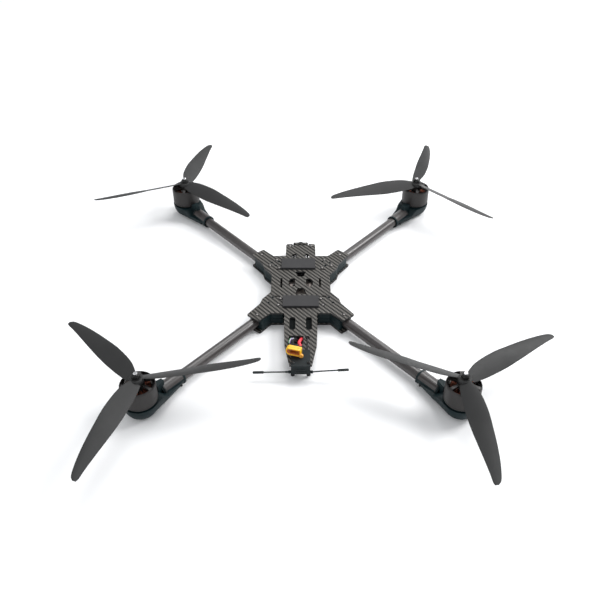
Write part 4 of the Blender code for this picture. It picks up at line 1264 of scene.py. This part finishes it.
def propeller(corner):
    sign_x, sign_y = CORNERS[corner]
    centre = (sign_x * MOTOR_X, sign_y * MOTOR_Y, PROP_Z)
    low = PROP_FOOT_Z - PROP_Z
    high = PROP_TOP_Z - PROP_Z
    hub = [
        (0.0032, low),
        (PROP_HUB_RADIUS - 0.0005, low),
        (PROP_HUB_RADIUS, low + 0.0005),
        (PROP_HUB_RADIUS, high - 0.0010),
        (PROP_HUB_RADIUS - 0.0010, high),
        (0.0066, high),
        (0.0062, high - 0.0008),
        (0.0045, high - 0.0008),
        (0.0042, high),
        (0.0032, high),
    ]
    bm = lathe(hub, 60)
    for i in range(3):
        turned = Matrix.Rotation(math.tau * i / 3, 4, "Z")
        loft([[turned @ Vector(p) for p in ring] for ring in blade_rings(SPIN[corner])], bm)
    bm.transform(Matrix.Rotation(math.radians(BLADE_PHASE[corner]), 4, "Z"))
    node = f"propeller_{corner}"
    piece(f"prop_{corner}", bm, "blade", f"rotor_{corner}", [node], "blade_plastic", centre, soft=50)


# ---------------------------------------------------------------- tail

def tail():
    """Two posts with round heads, and the flexible holder between them."""
    posts = bmesh.new()
    post = [(0, 0.0020), (0.0022, 0.0020), (0.0030, 0.0028), (0.0030, 0.0052), (0.0025, 0.0056)]
    for sign in (-1, 1):
        at = Matrix.Translation((sign * POST_X, POST_Y, 0))
        lathe([*post, (0.0025, 0.0207), (0, 0.0207)], 36, posts, at, closed=False)
        screw(posts, (sign * POST_X, POST_Y, FLANGE_TOP_Z), 0.0028, 0.0018)
    piece("tail_posts", posts, "screw", "frame", ["tail_post_left", "tail_post_right"], "black_aluminium")

    under = CEILING_Z - GAP
    over = DECK_Z + 0.0001
    plate_end = TONGUE[-1][1] - GAP
    profile = [
        (HOLDER_BACK_Y, HOLDER_FOOT_Z),
        (-0.1790, HOLDER_FOOT_Z),
        (-0.1790, under),
        (plate_end, under),
        (plate_end, over),
        (-0.1600, over),
        (-0.1600, FLANGE_TOP_Z),
        (HOLDER_BACK_Y, FLANGE_TOP_Z),
    ]
    bm = loft([[(x, y, z) for y, z in profile] for x in (-HOLDER_HALF_WIDTH, HOLDER_HALF_WIDTH)])
    holder = piece("tail_holder", bm, "flexible", "frame", ["antenna_holder"], "flexible_print")
    left = Vector((-1, 0, 0))
    middle = Vector((0, ANTENNA_Y, ANTENNA_Z))
    cut(holder, rod(None, middle + left * 0.0172, middle - left * 0.0172, 0.0022, 28, 0.0003), "UNION")
    holes = rod(None, middle + left * 0.02, middle - left * 0.02, 0.0012, 20)
    for sign in (-1, 1):
        rod(holes, (sign * POST_X, POST_Y, 0), (sign * POST_X, POST_Y, 0.0206), 0.0026, 32)
    cut(holder, holes)
    for sign in (-1, 1):
        groove = bmesh.new()
        block(groove, (sign * 0.0055, -0.1740, FLANGE_TOP_Z), (0.0012, 0.0180, 0.0008))
        cut(holder, groove)
    round_edges(holder, 0.0006, 3, 50, False)


def antenna():
    """A dipole with two thin arms that end in sleeves. The right arm bends up a little."""
    def height(x):
        free = max(0.0, abs(x) - 0.0168) / (ANTENNA_REACH - 0.0168)
        return ANTENNA_Z + (0.0042 * free**0.8 if x > 0 else -0.0012 * free)

    def on_line(x):
        return Vector((x, ANTENNA_Y, height(x)))

    line = [on_line(ANTENNA_REACH * 0.98 * i / 30) for i in range(-30, 31)]
    arms, _ = cable("antenna_arms", line, 0.0021, "shrink", 0.001)
    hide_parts("antenna")
    sleeves = bmesh.new()
    for sign in (-1, 1):
        outer = on_line(sign * ANTENNA_REACH)
        inner = on_line(sign * (ANTENNA_REACH - ANTENNA_SLEEVE))
        length = (outer - inner).length
        profile = [
            (0.0009, -0.0010), (0.0013, 0), (0.0018, 0.0004), (0.00195, 0.0010), (0.00195, length - 0.0008),
            (0.0016, length - 0.0002), (0.0008, length), (0, length),
        ]
        lathe(profile, 32, sleeves, towards(inner, outer), closed=False)
    rod(sleeves, on_line(-0.0215), on_line(-0.0165), 0.0014, 24, 0.0002)
    behind = HOLDER_BACK_Y - 0.0002
    for z in (0.0125, 0.0160, 0.0195):
        rod(sleeves, (-0.0070, behind, z), (0.0070, behind, z), 0.0006, 12, 0.0002)
    piece("antenna_sleeves", sleeves, "shrink", slot="flexible_print", bevel=0.0002)


# ---------------------------------------------------------------- connector and leads

def connector_point(x, y, z):
    return Vector(CONNECTOR_AT) + Matrix.Rotation(CONNECTOR_TURN, 3, "Z") @ Vector((x, y, z))


def connector_outline(inset):
    half_x = CONNECTOR_WIDTH / 2 - inset
    half_z = CONNECTOR_HEIGHT / 2 - inset
    cut_off = 0.0030 - inset * 0.3
    corners = [
        (-half_x, cut_off - half_z),
        (cut_off - half_x, -half_z),
        (half_x, -half_z),
        (half_x, half_z),
        (cut_off - half_x, half_z),
        (-half_x, half_z - cut_off),
    ]
    return rounded(corners, 0.0008, 4)


def connector_skin(steps, into=None):
    """Skin the plug's outline through (inset, y) steps."""
    return loft([[(x, y, z) for x, z in connector_outline(inset)] for inset, y in steps], into)


def connector():
    """Housing with a deep socket, two split pins, a lug, and a rear cap."""
    place = dict(at=CONNECTOR_AT, turn=CONNECTOR_TURN)
    deep = CONNECTOR_DEPTH
    socket = [(0.0014, 0.0066), (0.0013, 0.0004), (0.0010, 0.0), (0.0004, 0.0), (0.0, 0.0004)]
    sides = [(0, 0.0030), (0.0003, 0.0033), (0.0003, 0.0037), (0, 0.0040), (0, deep - 0.0004), (0.0004, deep)]
    housing = connector_skin(socket + sides)
    for x in (-0.0062, 0, 0.0062):
        block(housing, (x, 0.0062, CONNECTOR_HEIGHT / 2 + 0.0001), (0.0024, 0.0024, 0.0003))
    piece("plug_housing", housing, "yellow", "frame", ["connector_housing"], "connector_nylon", **place)

    # A dark orange skin inside the socket is painted shade: the housing is one yellow nylon and its inside is
    # darker only from shade.
    socket_shade_skin = connector_skin([(0.00145, 0.0065), (0.00145, 0.0006), (0.0034, 0.0009), (0.0036, 0.0064)])
    piece("plug_socket_shade", socket_shade_skin, "socket_shade", slot="connector_nylon", **place)

    # The lug's tan colour is painted shade on the same yellow nylon as the housing.
    ring = [(0.0012, -0.0002), (0.0030, -0.0002), (0.0033, 0.0001), (0.0033, 0.0026), (0.0012, 0.0026)]
    lug = lathe(ring, 40, place=Matrix.Translation((0.0116, 0, -0.0046)) @ ALONG_Y)
    rail = rounded([(-0.0070, -0.0062), (0.0100, -0.0062), (0.0100, -0.0054), (-0.0070, -0.0054)], 0.0003, 3)
    loft([[(x, y, z) for x, z in rail] for y in (-0.0002, 0.0016)], lug)
    piece("plug_lug", lug, "tan", slot="connector_nylon", **place)

    foot = deep + 0.0001
    back = foot + CAP_DEPTH
    cap = connector_skin([(0.0015, foot), (0.0012, foot + 0.0003), (0.0012, back - 0.0006), (0.0020, back)])
    piece("plug_cap", cap, "flexible", "frame", ["connector_cap"], "flexible_print", **place)

    # The pins' dark red-brown gold is partly their plating and partly painted shade inside the socket.
    pins = bmesh.new()
    tip = [(0, 0.0036), (0.0007, 0.0030), (0.0009, 0.0012), (0.0014, 0.0010), (0.0019, 0.0014)]
    for sign in (-1, 1):
        at = Matrix.Translation((sign * PIN_SPACING / 2, 0, 0)) @ ALONG_Y
        lathe([*tip, (0.0021, 0.0022), (0.0021, 0.0066), (0, 0.0066)], 36, pins, at, closed=False)
    nodes = ["connector_pin_negative", "connector_pin_positive"]
    piece("plug_pins", pins, "gold", "frame", nodes, "gold_plate", **place)


def leads():
    back = CONNECTOR_DEPTH + GAP + 0.0014
    for name, node, route, sign, colour, slot_name in (
        ("power_lead_red", "lead_red", RED_ROUTE, 1, "red", "lead_red_silicone"),
        ("power_lead_black", "lead_black", BLACK_ROUTE, -1, "black", "lead_black_silicone"),
    ):
        ends = [connector_point(sign * PIN_SPACING / 2, back + ahead, 0) for ahead in (0.0070, 0.0035, 0)]
        made, length = cable(name, [*route, *ends], LEAD_DIAMETER, colour)
        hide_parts(node)
    made, length = cable("antenna_wire", SIGNAL_ROUTE, WIRE_DIAMETER, "black")
    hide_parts("signal_wire")


# ---------------------------------------------------------------- camera

def nose_camera():
    """The camera with its lens and glass, its two brackets, the guard in front and the wires behind."""
    depth = CAMERA_HALF_DEPTH
    height = CAMERA_HALF_HEIGHT
    off = CAMERA_CHAMFER
    profile = [(depth, off - height), (depth, height - off), (depth - off, height), (off - depth, height)]
    profile += [(-y, -z) for y, z in profile]
    at = (0, CAMERA_Y, CAMERA_Z)
    bm = loft([[(x, y, z) for y, z in profile] for x in (-CAMERA_HALF_WIDTH, CAMERA_HALF_WIDTH)])
    piece("camera_case", bm, "shell", "camera", ["camera_body"], "camera_shell", at=at, bevel=0.0006, steps=3)

    r = LENS_RADIUS
    n = LENS_LENGTH
    lens = [(0, 0.0002), (r - 0.0010, 0.0002), (r - 0.0006, 0.0006), (r - 0.0006, 0.0022), (r, 0.0027)]
    for i in range(5):
        z = 0.0030 + 0.0008 * i
        lens += [(r, z), (r - 0.0003, z + 0.0002), (r - 0.0003, z + 0.0004), (r, z + 0.0006)]
    lens += [(r, n - 0.0004), (r - 0.0004, n), (r - 0.0014, n), (r - 0.0020, n - 0.0022), (0, n - 0.0022)]
    forward = Matrix.Translation((0, depth + 0.0001, 0)) @ ALONG_Y
    bm = lathe(lens, 48, place=forward, closed=False)
    piece("camera_barrel", bm, "shell", "camera", ["camera_lens"], "camera_shell", at=at, soft=50)
    angles = [math.radians(8 * i) for i in range(1, 12)]
    dome = [(0.0034 * math.sin(a), n - 0.0034 + 0.0022 * math.cos(a)) for a in angles]
    bm = lathe([(0, n - 0.0012), *dome, (0, n - 0.0034)], 48, place=forward, closed=False)
    piece("camera_glass", bm, "glass", "camera", slot="camera_shell", at=at)
    pins = bmesh.new()
    for sign in (-1, 1):
        screw(pins, (sign * (BRACKET_X[1] + 0.0001), CAMERA_Y, CAMERA_Z), 0.0021, 0.0013, (sign, 0, 0))
    piece("camera_pivots", pins, "screw", slot="steel")

    high = CEILING_Z - 0.0001
    outline = [
        (0.084, high), (0.084, 0.014), (0.099, 0.0045), (0.108, 0.0030), (0.1185, 0.0030),
        (0.1215, 0.0060), (0.1215, 0.0165), (0.1170, 0.0200), (0.1085, high),
    ]
    outline = rounded(outline, 0.0012, 3)
    for side, sign in (("left", -1), ("right", 1)):
        bm = loft([[(sign * x, y, z) for y, z in outline] for x in BRACKET_X])
        for y in (0.0890, 0.1030, 0.1095):
            rod(bm, (sign * 0.0150, y, high - 0.0060), (sign * 0.0150, y, high), 0.0022, 24)
            block(bm, (sign * 0.0138, y, high - 0.0030), (0.0030, 0.0034, 0.0056))
        node = f"camera_bracket_{side}"
        piece(f"bracket_{side}", bm, "flexible", "frame", [node], "flexible_print", bevel=0.0003)
    guard = rounded([(-0.0126, 0.1114), (0.0126, 0.1114), (0.0122, 0.1172), (-0.0122, 0.1172)], 0.0012)
    bm = slab(guard, [slot(0.0, 0.1143, 0.0040, 0.0008)], 0.0209, 0.0229)
    piece("camera_guard", bm, "twill", slot="carbon_twill", bevel=0.0002)
    for i, colour in enumerate(("white_wire", "red", "black", "green_wire")):
        x = -0.0030 + 0.0020 * i
        route = [
            (x, 0.1000, 0.0100), (x * 1.1, 0.0960, 0.0104), (x * 0.9, 0.0860, 0.0082),
            (x * 0.8, 0.0760, 0.0068), (x * 0.7, 0.0708, 0.0064),
        ]
        cable(f"camera_wire_{i}", route, 0.0011, colour)


# ---------------------------------------------------------------- electronics

def boxes(name, material, slot_name, parts, nodes=()):
    """Boxes of one material, each given by its centre and size."""
    bm = bmesh.new()
    for centre, size in parts:
        block(bm, centre, size)
    piece(name, bm, material, "frame", nodes, slot_name, bevel=0.0002)


def controllers():
    """The speed controller and the flight controller above it, with their parts, solder and spacers."""
    speed = [((0, 0, 0.0060), (0.050, 0.050, 0.0020))]
    boxes("esc_board", "board", "circuit_board", speed, ["speed_controller"])
    quarters = [Matrix.Rotation(math.radians(90 * i), 4, "Z") for i in range(4)]
    chips = []
    for i, turned in enumerate(quarters):
        size = (0.0050, 0.0052, 0.0011) if i % 2 else (0.0052, 0.0050, 0.0011)
        for row in range(2):
            for column in range(3):
                at = turned @ Vector((-0.0075 + 0.0075 * column, 0.0195 - 0.0062 * row, 0.0076))
                chips.append((tuple(at), size))
    chips += [
        ((0, 0, 0.0076), (0.0070, 0.0070, 0.0011)),
        ((0, 0, 0.0170), (0.0072, 0.0072, 0.0011)),
        ((-0.0110, 0.0050, 0.0170), (0.0035, 0.0035, 0.0010)),
        ((0.0090, -0.0080, 0.0170), (0.0040, 0.0060, 0.0012)),
    ]
    boxes("board_chips", "chip", "circuit_board", chips)
    flight = [((0, 0, 0.0154), (0.036, 0.036, 0.0016))]
    boxes("fc_board", "board", "circuit_board", flight, ["flight_controller"])
    sockets = [
        ((-0.0150, 0.0, 0.0172), (0.0040, 0.0100, 0.0020)),
        ((0.0150, 0.0020, 0.0172), (0.0040, 0.0080, 0.0020)),
        ((0, 0.0155, 0.0172), (0.0090, 0.0040, 0.0020)),
    ]
    boxes("board_sockets", "sealant", "circuit_board", sockets)
    solder = bmesh.new()
    small = [(0.0014, 0), (0.0012, 0.0005), (0.0006, 0.0009), (0, 0.0010)]
    large = [(0.0034, 0), (0.0030, 0.0014), (0.0018, 0.0026), (0, 0.0030)]
    for turned in quarters:
        for i in range(5):
            at = turned @ Vector((-0.0120 + 0.0060 * i, 0.0237, 0.0070))
            lathe(small, 12, solder, Matrix.Translation(at), False)
    for x in (0.0010, 0.0090):
        lathe(large, 20, solder, Matrix.Translation((x, -0.0268, 0.0070)), False)
    piece("solder_pads", solder, "solder", slot="steel")
    posts = bmesh.new()
    for x, y in spread_to_corners(STACK_HALF_PITCH, STACK_HALF_PITCH):
        rod(posts, (x, y, PLATE), (x, y, 0.0050), 0.0030, 20, 0.0002)
        rod(posts, (x, y, 0.0070), (x, y, 0.0146), 0.0024, 20, 0.0002)
        rod(posts, (x, y, 0.0162), (x, y, 0.0182), 0.0027, 6)
    piece("stack_spacers", posts, "shrink", slot="circuit_board")


def radio_parts():
    """Video transmitter with fins, receiver, capacitor, and the ribbed cover over the tail bay."""
    transmitter = [((0, 0.056, 0.0070), (0.030, 0.030, 0.0060))]
    boxes("vtx_base", "sink", "heat_sink", transmitter, ["video_transmitter"])
    fins = [((0, 0.056 + 0.0034 * i, 0.0132), (0.0262, 0.0012, 0.0066)) for i in range(-4, 5)]
    boxes("vtx_fins", "sink", "heat_sink", fins)
    receiver = [((0.0120, -0.0950, 0.0042), (0.011, 0.020, 0.0012))]
    boxes("receiver_board", "board", "circuit_board", receiver, ["radio_receiver"])
    boxes("receiver_can", "tin", "steel", [((0.0120, -0.0930, 0.0054), (0.007, 0.009, 0.0014))])

    back = Matrix.Translation((-0.0115, -0.0820, PLATE + GAP + 0.0064)) @ ALONG_Y.inverted()
    sleeve = [
        (0.0050, 0), (0.0058, 0.0002), (0.0063, 0.0008), (0.0063, 0.0020), (0.0058, 0.0028),
        (0.0063, 0.0036), (0.0063, 0.0244), (0.0060, 0.0250), (0.0050, 0.0250),
    ]
    piece("capacitor_can", lathe(sleeve, 48, place=back), "can", "frame", ["capacitor"], "capacitor_sleeve")
    ends = lathe([(0, 0.0004), (0.0051, 0.0004), (0.0051, 0.0246), (0, 0.0246)], 32, place=back, closed=False)
    piece("capacitor_ends", ends, "tin", slot="steel")

    cover = rounded(rectangle(0, -0.0990, 0.0215, 0.0195), 0.0020)
    bm = slab(cover, [circle(x, y, 0.0032) for x, y in TONGUE_SCREWS], 0.0186, 0.0202)
    for i in range(-6, 7):
        y = -0.0990 + 0.0028 * i
        rod(bm, (-0.0190, y, 0.0202), (0.0190, y, 0.0202), 0.0004, 10)
    piece("bay_cover", bm, "cover", slot="flexible_print", bevel=0.0002)


def wiring():
    """Loose wires in the bay, the motors' cables to the speed controller, and thin wires at the tongue."""
    for i, colour in enumerate(("brown_wire", "black", "brown_wire")):
        x = 0.0265 + 0.0032 * i
        route = [
            (-x, -0.0560, 0.0085),
            (-x - 0.0012, -0.0640, 0.0100 + 0.0012 * i),
            (-x - 0.0030, -0.0705, 0.0128),
            (-x - 0.0064, -0.0722, 0.0150 - 0.0010 * i),
            (-x - 0.0100, -0.0700, 0.0140),
        ]
        cable(f"bay_wire_{i}", route, 0.0015, colour)
    start = Vector((*on_arm(TUBE_INNER_END + 0.002, 0), TUBE_Z))
    inward = Vector((*on_arm(0.005, 0), 0))
    for corner, (sign_x, sign_y) in CORNERS.items():
        for side in (-1, 0, 1):
            pad = Vector((0.0235, 0.0120 + 0.0060 * (0.2 - side), 0.0085))
            if side == 1:
                pad = Vector((0.0240, 0.0060, 0.0085))
            a = start + Vector((*on_arm(0, 0.0035 * side), 0))
            b = a - inward
            points = [a, b, b.lerp(pad, 0.5) + Vector((0, 0, 0.0005)), pad]
            route = [(sign_x * p.x, sign_y * p.y, p.z) for p in points]
            cable(f"phase_wire_{corner}_{side + 1}", route, 0.0022, "black")
    colours = ("white_wire", "violet_wire", "green_wire", "white_wire")
    for i, (colour, x) in enumerate(zip(colours, (-0.0164, -0.0149, -0.0176, -0.0136))):
        route = [
            (x + 0.004, -0.1240, 0.0120), (x + 0.004, -0.1290, 0.0190), (x + 0.0028, -0.1340, 0.0248),
            (x + 0.001, -0.1400, 0.0262), (x, -0.1460, 0.0256),
        ]
        cable(f"data_wire_{i}", route, 0.0012, colour)


# ---------------------------------------------------------------- the whole

def build():
    studio()
    connector()
    leads()
    top_plate()
    bottom_plate()
    deck_hardware()
    battery_pads()
    shared = {}
    for corner in CORNERS:
        arm(corner)
        motor_mount(corner, shared)
        motor(corner, shared)
        propeller(corner)
    tail()
    antenna()
    nose_camera()
    controllers()
    radio_parts()
    wiring()
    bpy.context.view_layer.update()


build()
